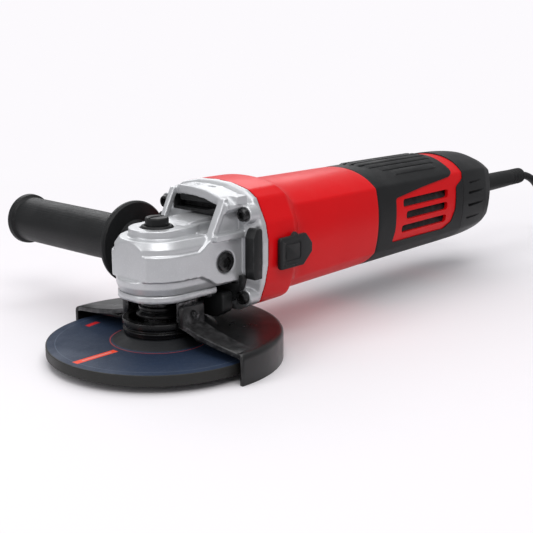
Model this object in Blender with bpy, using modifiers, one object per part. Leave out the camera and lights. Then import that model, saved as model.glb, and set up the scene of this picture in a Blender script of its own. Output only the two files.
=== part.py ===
"""Corded angle grinder with a 125 mm wheel, built as an assembly of separate solids.

Run it with: blender --background --python part.py

Lengths in the constants and in the calls are millimetres, and the helpers turn them into metres.
The machine's own frame has its origin on the spindle's axis at the height of the wheel's top face:
+X runs back along the body to the cord, +Y towards the side handle and +Z up. The empty "grinder"
then carries everything, so that the world's origin lies under the middle of the machine, on the
surface that the guard stands on.
"""

import math

import bmesh
import bpy
from mathutils import Matrix, Vector

MM = 0.001
TOUCH = 0.3  # the gap left between two pieces that touch

# Driving dimensions
WHEEL_RADIUS = 62.5
WHEEL_THICKNESS = 6.0
WHEEL_BORE = 11.1
HUB_RISE = 4.5  # how far the wheel's depressed centre stands above its rim
GUARD_RADIUS = 68.8
GUARD_TOP = 6.6
GUARD_FOOT = -10.3
GUARD_SHEET = 2.0
GUARD_FRONT = -5.5
MOTOR_Z = 45.6  # height of the motor's axis
CASE_BOTTOM = 29.6
CASE_TOP = 63.3
CASE_HALF_WIDTH = 28.5
NOSE_X = -23.5
RIM_FRONT = 36.8
JOINT_X = 46.3  # where the gear case meets the motor housing
SLIDER_FRONT = 59.0
WAIST_X = 84.0
SLEEVE_X = 157.0  # where the motor housing meets the rear grip
STRIPE_X = 248.3
CAP_X = 256.5
TAIL_X = 318.0
BOOT_END_X = 390.0
HANDLE_X = 25.0
HANDLE_Z = 43.3
HANDLE_END_Y = 157.0
CORD_RADIUS = 3.0
SPINDLE_TOP = 55.0
GEAR_TEETH = 27
PINION_TEETH = 9
GEAR_PITCH_RADIUS = 17.5
SWITCH_TRAVEL = 6.0
LOCK_CLEARANCE = 0.5  # between the lock's pin and the top of the spindle
LOCK_TRAVEL = 4.0

# Centres of the four screws that hold the gear case to the motor housing, as (y, z)
HOUSING_SCREWS = ((-31.2, 68.5), (31.2, 68.5), (-30.5, 21.5), (30.5, 21.5))

# Sections across the body, as half width, height above the axis, depth below it and squareness
JOINT_SECTION = (40.0, 38.4, 35.8, 3.0)
FLARE_SECTION = (38.6, 37.6, 34.2, 2.9)
WAIST_SECTION = (34.2, 34.0, 34.0, 2.6)
GRIP_SECTION = (33.0, 33.0, 33.0, 2.5)
TAIL_SECTION = (32.0, 32.0, 32.0, 2.5)

# The middle of the machine without its free cord, from the front of the wheel to the end of the boot
MACHINE_CENTRE_X = 127.75
MACHINE_CENTRE_Y = (HANDLE_END_Y - GUARD_RADIUS) / 2

# Route of the free cord, from the boot's mouth down to the surface and on to the coil
CORD_FLOOR_Z = GUARD_FOOT + CORD_RADIUS + 0.3
CORD_ROUTE = (
    (390.3, 0.0, 45.6),
    (403.0, 0.1, 43.4),
    (416.0, 0.6, 37.6),
    (428.0, 1.6, 28.0),
    (438.0, 3.4, 16.4),
    (448.5, 6.4, 5.0),
    (462.0, 10.4, CORD_FLOOR_Z + 2.0),
    (477.0, 13.8, CORD_FLOOR_Z),
    (491.0, 15.4, CORD_FLOOR_Z),
)
COIL_CENTRE = (490.0, -30.0)
COIL_MEAN_RADIUS = 33.0
COIL_WIDTH = 18.0
COIL_HEIGHT = 18.0

COLOURS = {
    "cast_silver": ((0.60, 0.61, 0.62), 0.35, 0.9),
    "red_housing": ((0.72, 0.01, 0.02), 0.35, 0.0),
    "black_plastic": ((0.02, 0.02, 0.022), 0.5, 0.0),
    "black_rubber": ((0.018, 0.018, 0.019), 0.7, 0.0),
    "black_steel": ((0.03, 0.03, 0.032), 0.3, 0.7),
    "bright_steel": ((0.55, 0.55, 0.56), 0.25, 1.0),
    "wheel_abrasive": ((0.03, 0.05, 0.09), 0.8, 0.0),
    "copper_wire": ((0.55, 0.22, 0.08), 0.35, 0.9),
    "carbon": ((0.03, 0.03, 0.03), 0.6, 0.1),
    "brass_metal": ((0.65, 0.45, 0.15), 0.3, 1.0),
}


def clear_scene():
    for item in list(bpy.data.objects):
        bpy.data.objects.remove(item, do_unlink=True)


def new_collection(name):
    collection = bpy.data.collections.new(name)
    bpy.context.scene.collection.children.link(collection)
    return collection


def new_material(name):
    colour, roughness, metallic = COLOURS[name]
    material = bpy.data.materials.new(name)
    material.use_nodes = True
    shader = material.node_tree.nodes["Principled BSDF"]
    shader.inputs["Base Color"].default_value = (*colour, 1.0)
    shader.inputs["Roughness"].default_value = roughness
    shader.inputs["Metallic"].default_value = metallic
    material.diffuse_color = (*colour, 1.0)
    return material


clear_scene()
PARTS = new_collection("angle_grinder")
CUTTERS = new_collection("cutters")
MATERIALS = {name: new_material(name) for name in COLOURS}
MACHINE = bpy.data.objects.new("grinder", None)
PARTS.objects.link(MACHINE)
MACHINE.location = Vector((-MACHINE_CENTRE_X, -MACHINE_CENTRE_Y, -GUARD_FOOT)) * MM


def turn_to(axis):
    """The rotation that carries local +Z to the named axis."""
    if axis == "X":
        return Matrix.Rotation(math.pi / 2, 4, "Y")
    if axis == "Y":
        return Matrix.Rotation(-math.pi / 2, 4, "X")
    return Matrix.Identity(4)


def add_object(name, mesh, material, at=(0, 0, 0), axis="Z"):
    """A mesh in metres as a named part of the machine, with its origin at the given place."""
    piece = bpy.data.objects.new(name, mesh)
    PARTS.objects.link(piece)
    piece.parent = MACHINE
    piece.matrix_local = Matrix.Translation(Vector(at) * MM) @ turn_to(axis)
    if material:
        mesh.materials.append(MATERIALS[material])
    return piece


def mesh_from(name, form):
    """A mesh from a bmesh, with its faces turned outwards."""
    bmesh.ops.recalc_face_normals(form, faces=form.faces)
    mesh = bpy.data.meshes.new(name)
    form.to_mesh(mesh)
    form.free()
    mesh.shade_smooth()
    mesh.set_sharp_from_angle(angle=math.radians(35))
    return mesh


def box(name, low, high, material=None):
    form = bmesh.new()
    bmesh.ops.create_cube(form, size=1.0)
    size = (Vector(high) - Vector(low)) * MM
    bmesh.ops.scale(form, vec=size, verts=form.verts)
    centre = [(a + b) / 2 for a, b in zip(low, high)]
    return add_object(name, mesh_from(name, form), material, centre)


def rod(name, radius, start, length, axis="Z", material=None, sides=24):
    """A cylinder that starts at a point and runs the given length along an axis."""
    form = bmesh.new()
    bmesh.ops.create_cone(form, cap_ends=True, segments=sides, radius1=radius * MM,
                          radius2=radius * MM, depth=length * MM)
    bmesh.ops.translate(form, vec=(0, 0, length * MM / 2), verts=form.verts)
    return add_object(name, mesh_from(name, form), material, start, axis)


def turned(name, profile, material, at=(0, 0, 0), axis="Z", steps=32, ring=True, arc=360.0, start=0.0):
    """A profile of (radius, height) points swept round local Z. A ring's profile closes on itself."""
    mesh = bpy.data.meshes.new(name)
    turn = Matrix.Rotation(math.radians(start), 4, "Z")
    points = [turn @ Vector((radius * MM, 0, height * MM)) for radius, height in profile]
    edges = [(i, i + 1) for i in range(len(points) - 1)]
    if ring:
        edges.append((len(points) - 1, 0))
    mesh.from_pydata(points, edges, [])
    piece = add_object(name, mesh, material, at, axis)
    screw = piece.modifiers.new("Turn", "SCREW")
    screw.axis = "Z"
    screw.angle = math.radians(arc)
    screw.steps = steps
    screw.render_steps = steps
    screw.use_merge_vertices = arc == 360.0
    screw.merge_threshold = 1e-6
    screw.use_smooth_shade = True
    return piece


def loft(name, rings, material, at=(0, 0, 0), axis="Z", closed=True):
    """Faces between successive rings of equal count. A closed loft joins its last ring to its first."""
    form = bmesh.new()
    rows = [[form.verts.new(Vector(point) * MM) for point in ring] for ring in rings]
    count = len(rings[0])
    pairs = list(zip(rows, rows[1:]))
    if closed:
        pairs.append((rows[-1], rows[0]))
    for first, second in pairs:
        for i in range(count):
            j = (i + 1) % count
            form.faces.new((first[i], first[j], second[j], second[i]))
    if not closed:
        form.faces.new(rows[0])
        form.faces.new(rows[-1])
    return add_object(name, mesh_from(name, form), material, at, axis)


def as_mesh(curve_object, name, material):
    """The curve's solid as a mesh object, with its loose caps welded on."""
    bpy.context.view_layer.update()
    graph = bpy.context.evaluated_depsgraph_get()
    mesh = bpy.data.meshes.new_from_object(curve_object.evaluated_get(graph))
    matrix = curve_object.matrix_local.copy()
    curve = curve_object.data
    bpy.data.objects.remove(curve_object)
    bpy.data.curves.remove(curve)
    form = bmesh.new()
    form.from_mesh(mesh)
    bmesh.ops.remove_doubles(form, verts=form.verts, dist=1e-6)
    form.to_mesh(mesh)
    form.free()
    mesh.name = name
    mesh.materials.clear()
    piece = add_object(name, mesh, material)
    piece.matrix_local = matrix
    return piece


def prism(name, outline, low, high, axis="Z", material=None):
    """A flat outline extruded from low to high along an axis, through a filled 2D curve."""
    curve = bpy.data.curves.new(name, "CURVE")
    curve.dimensions = "2D"
    curve.fill_mode = "BOTH"
    curve.extrude = (high - low) / 2 * MM
    spline = curve.splines.new("POLY")
    spline.points.add(len(outline) - 1)
    for point, (u, v) in zip(spline.points, outline):
        point.co = (u * MM, v * MM, 0, 1)
    spline.use_cyclic_u = True
    item = bpy.data.objects.new(name, curve)
    PARTS.objects.link(item)
    item.parent = MACHINE
    middle = (low + high) / 2 * MM
    if axis == "Z":
        item.matrix_local = Matrix.Translation((0, 0, middle))
    elif axis == "Y":  # the outline's u, v are X and Z
        item.matrix_local = Matrix.Translation((0, middle, 0)) @ Matrix.Rotation(math.pi / 2, 4, "X")
    else:  # the outline's u, v are Y and Z
        turn = Matrix(((0, 0, 1, 0), (1, 0, 0, 0), (0, 1, 0, 0), (0, 0, 0, 1)))
        item.matrix_local = Matrix.Translation((middle, 0, 0)) @ turn
    return as_mesh(item, name, material)


def tube(name, points, radius, material, resolution=2):
    """A round wire or cord with filled caps along a list of points."""
    curve = bpy.data.curves.new(name, "CURVE")
    curve.dimensions = "3D"
    curve.bevel_depth = radius * MM
    curve.bevel_resolution = resolution
    curve.use_fill_caps = True
    spline = curve.splines.new("POLY")
    spline.points.add(len(points) - 1)
    for point, place in zip(spline.points, points):
        point.co = (*(Vector(place) * MM), 1)
    item = bpy.data.objects.new(name, curve)
    PARTS.objects.link(item)
    item.parent = MACHINE
    return as_mesh(item, name, material)


def set_aside(helper):
    """Makes a shape a cutter or a part of a union, which isn't itself a piece."""
    PARTS.objects.unlink(helper)
    CUTTERS.objects.link(helper)
    helper.hide_render = True
    helper.display_type = "WIRE"


def combine(piece, operation, helpers):
    for helper in helpers:
        set_aside(helper)
        modifier = piece.modifiers.new(helper.name, "BOOLEAN")
        modifier.operation = operation
        modifier.object = helper
    return piece


def cut(piece, *helpers):
    return combine(piece, "DIFFERENCE", helpers)


def join(piece, *helpers):
    return combine(piece, "UNION", helpers)


def keep_inside(piece, *helpers):
    return combine(piece, "INTERSECT", helpers)


def section(x, shape, inset=0.0, count=28):
    """A ring of points across the body at x: a rounded square, deeper or shallower below the axis."""
    half_width, above, below, squareness = shape
    ring = []
    for i in range(count):
        angle = 2 * math.pi * i / count
        across, up = math.cos(angle), math.sin(angle)
        height = above if up >= 0 else below
        y = math.copysign(abs(across) ** (2 / squareness), across) * (half_width - inset)
        z = math.copysign(abs(up) ** (2 / squareness), up) * (height - inset)
        ring.append((x, y, MOTOR_Z + z))
    return ring


def circle(x, radius, count=28):
    """A ring of points round the motor's axis at x."""
    return section(x, (radius, radius, radius, 2.0), 0.0, count)


def body_tube(name, stations, wall, material):
    """A hollow length of the body, through outer sections given as (x, shape)."""
    outer = [section(x, shape) for x, shape in stations]
    inner = [section(x, shape, wall) for x, shape in reversed(stations)]
    return loft(name, outer + inner, material)


def head_outline(radius, nose, half_width, rear):
    """The gear case's plan: an arc round the spindle, cut flat at the nose, widening to the rear."""
    lean = math.asin(min(1.0, (half_width - radius) / rear)) if half_width > radius else 0.0
    first, last = math.pi / 2 + lean, 3 * math.pi / 2 - lean
    outline = []
    for i in range(15):
        angle = first + (last - first) * i / 14
        outline.append((max(nose, radius * math.cos(angle)), radius * math.sin(angle)))
    return [(rear, half_width)] + outline + [(rear, -half_width)]


# The wheel and what carries it


def make_wheel():
    foot = -WHEEL_THICKNESS
    profile = [(WHEEL_BORE, HUB_RISE), (20, HUB_RISE), (27, 0), (WHEEL_RADIUS, 0), (WHEEL_RADIUS, foot),
               (31, foot), (24, HUB_RISE + foot), (WHEEL_BORE, HUB_RISE + foot)]
    turned("grinding_wheel", profile, "wheel_abrasive", steps=48)


def make_flanges():
    seat = HUB_RISE + TOUCH
    rim = 20.5
    turned("inner_flange",
           [(7.3, 9), (16.5, 9), (17.5, 13.5), (rim, 13.5), (rim, 9.3), (rim - 1.2, 8.6), (rim - 1.2, 7.2),
            (rim, 6.4), (rim, seat), (10.7, seat), (10.7, 0), (7.3, 0)], "black_steel", steps=28)
    top = HUB_RISE - WHEEL_THICKNESS - TOUCH
    nut = turned("outer_flange_nut",
                 [(7.3, top), (20, top), (20, top - 2.6), (16.5, top - 6.2), (7.3, top - 6.2)],
                 "black_steel", steps=24)
    holes = [rod(f"nut_hole_{i}", 2.4, (13 * math.cos(a), 13 * math.sin(a), top - 8), 5.5, sides=8)
             for i, a in enumerate((0.0, math.pi))]
    cut(nut, *holes)


def make_spindle():
    shaft = turned("spindle",
                   [(0, SPINDLE_TOP), (5.4, SPINDLE_TOP), (5.9, SPINDLE_TOP - 0.5), (5.9, 27),
                    (8.5, 27), (8.5, 9.3), (6.9, 9.3), (6.9, -8.4), (6.3, -9), (0, -9)],
                   "bright_steel", ring=False, steps=20, start=4.0)
    # A twelve-point socket, which takes the lock's square pin at every 30 degrees.
    outline = []
    for i in range(24):
        radius = 2.75 * (math.sqrt(2) if i % 2 else 1 / math.cos(math.radians(30)))
        outline.append((radius * math.cos(math.radians(15 * i)), radius * math.sin(math.radians(15 * i))))
    star = [[(x, y, z) for x, y in outline] for z in (SPINDLE_TOP - LOCK_TRAVEL, SPINDLE_TOP + 1)]
    cut(shaft, loft("lock_socket", star, None, closed=False))


def tooth_ring(teeth, pitch_radius, cone, module, share, scale=1.0):
    """Points round a bevel gear's end, four to a tooth, about an apex with the axis along -Z."""
    addendum, dedendum = 0.65 * module, 1.15 * module
    points = []
    for i in range(teeth):
        middle = 2 * math.pi * i / teeth
        base = share * math.pi / teeth * 1.35
        tip = share * math.pi / teeth * 0.75
        for offset, height in ((-base, -dedendum), (-tip, addendum), (tip, addendum), (base, -dedendum)):
            radius = (pitch_radius + height * math.cos(cone)) * scale
            depth = (-pitch_radius / math.tan(cone) + height * math.sin(cone)) * scale
            angle = middle + offset
            points.append((radius * math.cos(angle), radius * math.sin(angle), depth))
    return points


def plain_ring(like, radius, height):
    """A round ring at the same angles as another ring's points."""
    ring = []
    for x, y, _ in like:
        angle = math.atan2(y, x)
        ring.append((radius * math.cos(angle), radius * math.sin(angle), height))
    return ring


def make_bevel_gears():
    """Crown gear on the spindle and pinion on the motor's shaft, with a common apex where the axes cross."""
    pinion_radius = GEAR_PITCH_RADIUS * PINION_TEETH / GEAR_TEETH
    module = 2 * GEAR_PITCH_RADIUS / GEAR_TEETH
    gear_cone = math.atan2(GEAR_TEETH, PINION_TEETH)
    pinion_cone = math.pi / 2 - gear_cone
    inner_scale = 0.68
    tooth_share = 0.36
    outer = tooth_ring(GEAR_TEETH, GEAR_PITCH_RADIUS, gear_cone, module, tooth_share)
    inner = tooth_ring(GEAR_TEETH, GEAR_PITCH_RADIUS, gear_cone, module, tooth_share, inner_scale)
    back, hub_top = 36.4 - MOTOR_Z, 41.9 - MOTOR_Z
    rings = [plain_ring(outer, 6.2, back), plain_ring(outer, 16.6, back), outer, inner,
             plain_ring(outer, 6.2, hub_top)]
    loft("spindle_gear", rings, "bright_steel", at=(0, 0, MOTOR_Z))

    outer = tooth_ring(PINION_TEETH, pinion_radius, pinion_cone, module, tooth_share)
    inner = tooth_ring(PINION_TEETH, pinion_radius, pinion_cone, module, tooth_share, inner_scale)
    hub, end = -18.9, -24.7
    bore = 3.6
    rings = [inner, outer, plain_ring(outer, 5.4, hub), plain_ring(outer, 5.4, end),
             plain_ring(outer, bore, end), plain_ring(outer, bore, hub - 0.2)]
    half_tooth = math.pi / PINION_TEETH
    turn = Matrix.Rotation(half_tooth, 3, "Z")
    rings = [[turn @ Vector(point) for point in ring] for ring in rings]
    flipped = [[(x, -y, -z) for x, y, z in ring] for ring in rings]
    loft("pinion_gear", flipped, "bright_steel", at=(0, 0, MOTOR_Z), axis="X", closed=False)


def sealed_bearing(name, bore, race, outside, low, high, at, axis="Z"):
    """A sealed ball bearing: its inner ring, and its outer ring with the two shields."""
    step = 0.2
    turned(f"{name}_inner_ring", [(bore, high - step), (race, high - step), (race, low + step),
                                  (bore, low + step)], "bright_steel", at, axis, steps=20)
    turned(f"{name}_outer_ring", [(race + 0.4, high), (outside, high), (outside, low), (race + 0.4, low)],
           "bright_steel", at, axis, steps=24)


def make_bearings():
    sealed_bearing("spindle_bearing", 6.2, 8.6, 16.0, 28.0, 36.0, (0, 0, 0))
    sealed_bearing("front_bearing", 5.2, 7.2, 13.0, 26.0, 34.0, (0, 0, MOTOR_Z), "X")
    turned("rear_bearing", [(4.2, 155.0), (11.0, 155.0), (11.0, 148.0), (4.2, 148.0)], "bright_steel",
           (0, 0, MOTOR_Z), "X", steps=20)
    top = SPINDLE_TOP - 0.5
    turned("spindle_top_bush", [(6.2, top), (9.0, top), (9.0, 48), (6.2, 48)], "brass_metal",
           steps=16)


# The gear head


def make_retainer():
    """The plate that closes the gear case below and holds the spindle's bearing, with its neck."""
    outline = head_outline(22.0, -22.0, 22.5, 22.0)
    plate = prism("bearing_retainer", outline, 25.3, CASE_BOTTOM - TOUCH, material="cast_silver")
    bore = rod("retainer_bore", 10.4, (0, 0, 20), 20)
    seat = rod("retainer_seat", 16.3, (0, 0, 27.7), 10)
    places = [(-12.2, -15.2), (-12.2, 15.2), (18.6, -19.2), (18.6, 19.2)]
    holes = [rod(f"retainer_hole_{i}", 1.9, (x, y, 20), 12, sides=8) for i, (x, y) in enumerate(places)]
    cut(plate, bore, seat, *holes)
    for i, (x, y) in enumerate(places):
        turned(f"retainer_screw_{i + 1}",
               [(0, 35.0), (1.6, 35.0), (1.6, 25.0), (2.9, 25.0), (2.9, 23.5), (0, 23.5)],
               "black_steel", at=(x, y, 0), steps=8, ring=False)
    turned("neck_sleeve",
           [(8.9, 25.0), (10.0, 25.0), (10.0, 17.8), (12.7, 16.0), (12.7, 14.0), (8.9, 14.0)], "black_steel",
           steps=24)
    return places


def case_cavities(screw_places):
    """What is bored out of the gear case, from the bearing's seat up to the lock button."""
    cutters = [
        rod("bearing_seat", 16.3, (0, 0, 20), 16.3),
        rod("gear_space", 20.2, (0, 0, 36.2), 10.8),
        rod("bush_seat", 9.3, (0, 0, 46.5), SPINDLE_TOP - 46.2, sides=16),
        rod("pin_hole", 3.9, (0, 0, SPINDLE_TOP - 1), 5, sides=12),
        rod("button_bore", 6.7, (0, 0, 57.0), 12, sides=20),
        rod("ring_recess", 9.3, (0, 0, 62.0), 8, sides=20),
        rod("pinion_passage", 8.0, (5, 0, MOTOR_Z), 32, "X", sides=16),
        rod("front_bearing_seat", 13.3, (25.7, 0, MOTOR_Z), 20, "X"),
        rod("fan_space", 33.4, (39.6, 0, MOTOR_Z), 20, "X", sides=28),
        rod("handle_hole", 4.3, (HANDLE_X, 15.8, HANDLE_Z), 20, "Y", sides=12),
        rod("plug_hole", 4.3, (HANDLE_X, -35.8, HANDLE_Z), 20, "Y", sides=12),
        rod("plug_recess", 6.2, (HANDLE_X, -35.8, HANDLE_Z), 9.5, "Y", sides=16),
    ]
    for i, (x, y) in enumerate(screw_places):
        cutters.append(rod(f"case_hole_{i}", 1.9, (x, y, 20), 15.4, sides=8))
    for i, (y, z) in enumerate(HOUSING_SCREWS):
        cutters.append(rod(f"ear_hole_{i}", 2.0, (20, y, z), 40, "X", sides=8))
    return cutters


def make_gear_case(screw_places):
    rear = RIM_FRONT + 1.0
    case = prism("gear_case", head_outline(24.8, NOSE_X, CASE_HALF_WIDTH, rear), 33.0, 54.0,
                 material="cast_silver")
    lower = prism("case_lower_step", head_outline(22.8, NOSE_X + 1, 25.0, rear), CASE_BOTTOM, 33.5)
    shoulder = prism("case_shoulder", head_outline(21.3, NOSE_X + 2, 26.0, rear), 53.5, 59.0)
    plateau = prism("case_plateau", head_outline(17.4, NOSE_X + 4, 17.4, rear), 58.5, CASE_TOP)
    web = loft("case_web", [section(RIM_FRONT, JOINT_SECTION), section(JOINT_X, JOINT_SECTION)], None,
               closed=False)
    arch = (39.3, 37.7, 35.0, 3.0)
    bridge = body_tube("case_bridge", [(23.0, arch), (RIM_FRONT + 2, arch)], 3.4, None)
    keep_inside(bridge, box("bridge_bounds", (20, -60, 73.5), (60, 60, 100)))
    cheek = [(15.5, 58.0), (24.5, 77.0), (rear, 77.0), (rear, 58.0)]
    cheeks = [prism(f"case_cheek_{name}", cheek, low, low + 4.6, "Y")
              for name, low in (("left", -26.8), ("right", 22.2))]
    shelf = box("case_shelf", (15.5, -31.0, 56.0), (rear, 31.0, 59.2))
    join(case, lower, shoulder, plateau, web, shelf, *cheeks, bridge)
    outlet = box("air_outlet", (30, -22.0, 64.5), (45, 22.0, 79.0))
    pockets = [box(f"strip_pocket_{i}", (30, low, 32.7), (43.7, low + 10, 60.3))
               for i, low in enumerate((-47.0, 37.0))]
    cut(case, outlet, *pockets, *case_cavities(screw_places))


def make_outlet_trim():
    """Black plastic trim in front of the gear case's rear wall, below and beside the head."""
    shape = (36.5, 35.0, 33.0, 3.0)
    plate = loft("outlet_trim", [section(33.8, shape), section(RIM_FRONT - TOUCH, shape)], "black_plastic",
                 closed=False)
    head = box("trim_head_space", (30, -29.2, 29.0), (40, 29.2, 100))
    upper = box("trim_upper_space", (30, -60, 55.6), (40, 60, 100))
    holes = [rod(f"trim_hole_{i}", 4.2, (20, y, z), 40, "X", sides=8)
             for i, (y, z) in enumerate(HOUSING_SCREWS)]
    cut(plate, head, upper, *holes)
    for name, side in (("left", -1), ("right", 1)):
        low, high = sorted((side * 37.3, side * 39.4))
        strip = box(f"side_strip_{name}", (33.8, low, 33.0), (43.4, high, 60.0))
        low, high = sorted((side * 34.0, side * 37.6))
        web = box(f"strip_web_{name}", (34.0, low, 34.0), (RIM_FRONT - TOUCH - 0.2, high, 54.0))
        join(plate, web, strip)


def make_screws():
    for i, (y, z) in enumerate(HOUSING_SCREWS):
        turned(f"housing_screw_{i + 1}",
               [(0, 46.0), (1.7, 46.0), (1.7, RIM_FRONT - 0.3), (3.6, RIM_FRONT - 0.3),
                (3.6, RIM_FRONT - 3.0), (3.0, RIM_FRONT - 3.8), (0, RIM_FRONT - 3.8)],
               "black_steel", at=(0, y, z), axis="X", steps=8, ring=False)


def make_lock_button():
    """The spindle lock: a round cap, and a square pin that drops into the spindle's socket."""
    cap = turned("lock_button", [(0, 68.2), (5.4, 68.2), (6.2, 67.4), (6.2, 61.2), (0, 61.2)],
                 "black_plastic", ring=False, steps=16)
    join(cap, box("lock_pin", (-2.5, -2.5, SPINDLE_TOP + LOCK_CLEARANCE), (2.5, 2.5, 62.0)))
    turned("button_ring", [(6.9, 64.0), (8.3, 64.0), (9.0, 63.4), (9.0, 62.3), (6.9, 62.3)], "black_rubber",
           steps=16)
    turns, wire, low, high = 2.0, 0.4, 57.7, 60.7
    points = []
    for i in range(int(turns * 10) + 1):
        angle = 2 * math.pi * i / 10
        height = low + (high - low) * i / (turns * 10)
        points.append((4.75 * math.cos(angle), 4.75 * math.sin(angle), height))
    tube("lock_spring", points, wire, "bright_steel", resolution=1)


# The guard


def make_guard():
    """Sheet guard over the rear half of the wheel, with its collar round the neck and two ears."""
    corner = 3.6
    profile = [(24.6, 22.6), (24.6, 11.5), (32.0, 7.8)]
    for i in range(3):
        angle = math.pi / 2 * i / 2
        profile.append((GUARD_RADIUS - corner + corner * math.sin(angle),
                        GUARD_TOP - corner + corner * math.cos(angle)))
    profile.append((GUARD_RADIUS, GUARD_FOOT))
    guard = turned("wheel_guard", profile, "black_steel", steps=28, ring=False, arc=220.0, start=-110.0)
    sheet = guard.modifiers.new("Sheet", "SOLIDIFY")
    sheet.thickness = GUARD_SHEET * MM
    sheet.offset = -1.0
    sheet.use_even_offset = True
    ears = [box(f"guard_ear_{i}", (GUARD_FRONT - 1, low, 11.0), (11.0, low + 2.2, 23.0))
            for i, low in enumerate((-24.9, 22.7))]
    join(guard, *ears)
    front = box("guard_front_cut", (-90, -90, -30), (GUARD_FRONT, 90, 60))
    hole = rod("guard_screw_hole", 1.5, (3.0, -30, 18.0), 15, "Y", sides=12)
    cut(guard, front, hole)
    turned("guard_seat", [(20.6, 25.0), (22.3, 25.0), (22.3, 14.2), (20.6, 14.2)], "black_steel",
           steps=16, arc=210.0, start=-105.0)
    close_arc_ends("guard_seat")
    turned("guard_clamp_screw", [(0, 3.9), (1.2, 3.9), (1.2, 1.3), (2.4, 1.3), (2.4, 0.0), (0, 0.0)],
           "bright_steel", at=(3.0, -26.6, 18.0), axis="Y", steps=8, ring=False)


def close_arc_ends(name):
    """Caps the two open ends of a ring profile that was swept part of a turn."""
    piece = bpy.data.objects[name]
    bpy.context.view_layer.update()
    graph = bpy.context.evaluated_depsgraph_get()
    mesh = bpy.data.meshes.new_from_object(piece.evaluated_get(graph))
    form = bmesh.new()
    form.from_mesh(mesh)
    bmesh.ops.holes_fill(form, edges=form.edges, sides=0)
    bmesh.ops.recalc_face_normals(form, faces=form.faces)
    form.to_mesh(mesh)
    form.free()
    piece.modifiers.clear()
    piece.data = mesh


# The motor


def make_rotor():
    at = (0, 0, MOTOR_Z)
    turned("armature_shaft",
           [(0, 156.8), (3.9, 156.8), (3.9, 146.5), (4.9, 146.5), (4.9, 25.3), (3.3, 25.3), (3.3, 19.6),
            (0, 19.6)],
           "bright_steel", at, "X", steps=16, ring=False)
    loft("armature_core", slotted_rings(12, 17.2, 13.2, 5.2, 66, 116), "bright_steel", at, "X")
    loft("commutator", slotted_rings(12, 11.0, 10.4, 5.2, 125, 141, 0.9), "copper_wire", at, "X")
    blades, plate_low, plate_high, blade_top = 9, 40.4, 42.2, 46.4
    low, high = [], []
    for i in range(blades):
        for share, height in ((-0.24, plate_high), (-0.2, blade_top), (0.2, blade_top), (0.24, plate_high)):
            angle = 2 * math.pi * (i + share) / blades
            low.append((math.cos(angle), math.sin(angle), height))
    inner = [(14 * x, 14 * y, z) for x, y, z in low]
    high = [(30.5 * x, 30.5 * y, z) for x, y, z in low]
    rings = [plain_ring(low, 5.2, plate_low), plain_ring(low, 31.5, plate_low),
             plain_ring(low, 31.5, plate_high), high, inner, plain_ring(low, 12.0, plate_high),
             plain_ring(low, 9.0, 47.5), plain_ring(low, 5.2, 47.5)]
    loft("cooling_fan", rings, "black_plastic", at, "X")


def slotted_rings(slots, outside, root, bore, low, high, share=0.7):
    """A round stack with straight slots along its outside, as rings for a closed loft."""
    plan = []
    for i in range(slots):
        for offset, radius in ((-0.5 * share, outside), (0.0, outside), (0.5 * share, outside), (0.5, root)):
            angle = 2 * math.pi * (i + offset) / slots
            plan.append((radius * math.cos(angle), radius * math.sin(angle)))
    bottom = [(x, y, low) for x, y in plan]
    top = [(x, y, high) for x, y in plan]
    return [plain_ring(bottom, bore, low), bottom, top, plain_ring(bottom, bore, high)]


def make_stator():
    at = (0, 0, MOTOR_Z)
    turned("stator_core", [(18.0, 116), (28.0, 116), (28.0, 66), (18.0, 66)],
           "bright_steel", at, "X", steps=24)
    for name, low in (("front", 57.5), ("rear", 116.3)):
        turned(f"field_winding_{name}",
               [(19.5, low + 7.2), (26.0, low + 8.2), (27.4, low + 4.0), (26.0, low), (19.5, low + 1.0)],
               "copper_wire", at, "X", steps=20)
    turned("fan_baffle", [(22.0, 52.5), (31.4, 52.5), (31.4, 50.5), (22.0, 50.5)],
           "black_plastic", at, "X", steps=24)
    bracket = turned("bearing_bracket",
                     [(11.3, 147.5), (14.0, 147.5), (14.0, 150.0), (29.4, 150.0), (29.4, 154.0),
                      (14.0, 154.0), (14.0, 157.8), (5.0, 157.8), (5.0, 155.4), (11.3, 155.4)][::-1],
                     "black_plastic", at, "X", steps=20)
    holes = []
    for i in range(4):
        angle = math.pi / 4 + math.pi / 2 * i
        y, z = 21.5 * math.cos(angle), 21.5 * math.sin(angle)
        holes.append(rod(f"bracket_hole_{i}", 5.5, (145, y, MOTOR_Z + z), 15, "X", sides=8))
    notch = box("bracket_notch", (145, -40, 40.5), (160, -23.8, 49.0))
    cut(bracket, *holes, notch)
    for name, side in (("left", -1), ("right", 1)):
        low, high = sorted((side * 14.5, side * 26.5))
        holder = box(f"brush_holder_{name}", (128.5, low, 41.1), (137.5, high, 50.1), "brass_metal")
        cut(holder, box(f"brush_channel_{name}", (130, -40, 42.6), (136, 40, 48.6)))
        low, high = sorted((side * 11.4, side * 24.0))
        box(f"carbon_brush_{name}", (130.3, low, 42.9), (135.7, high, 48.3), "carbon")


# The housings


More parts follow.
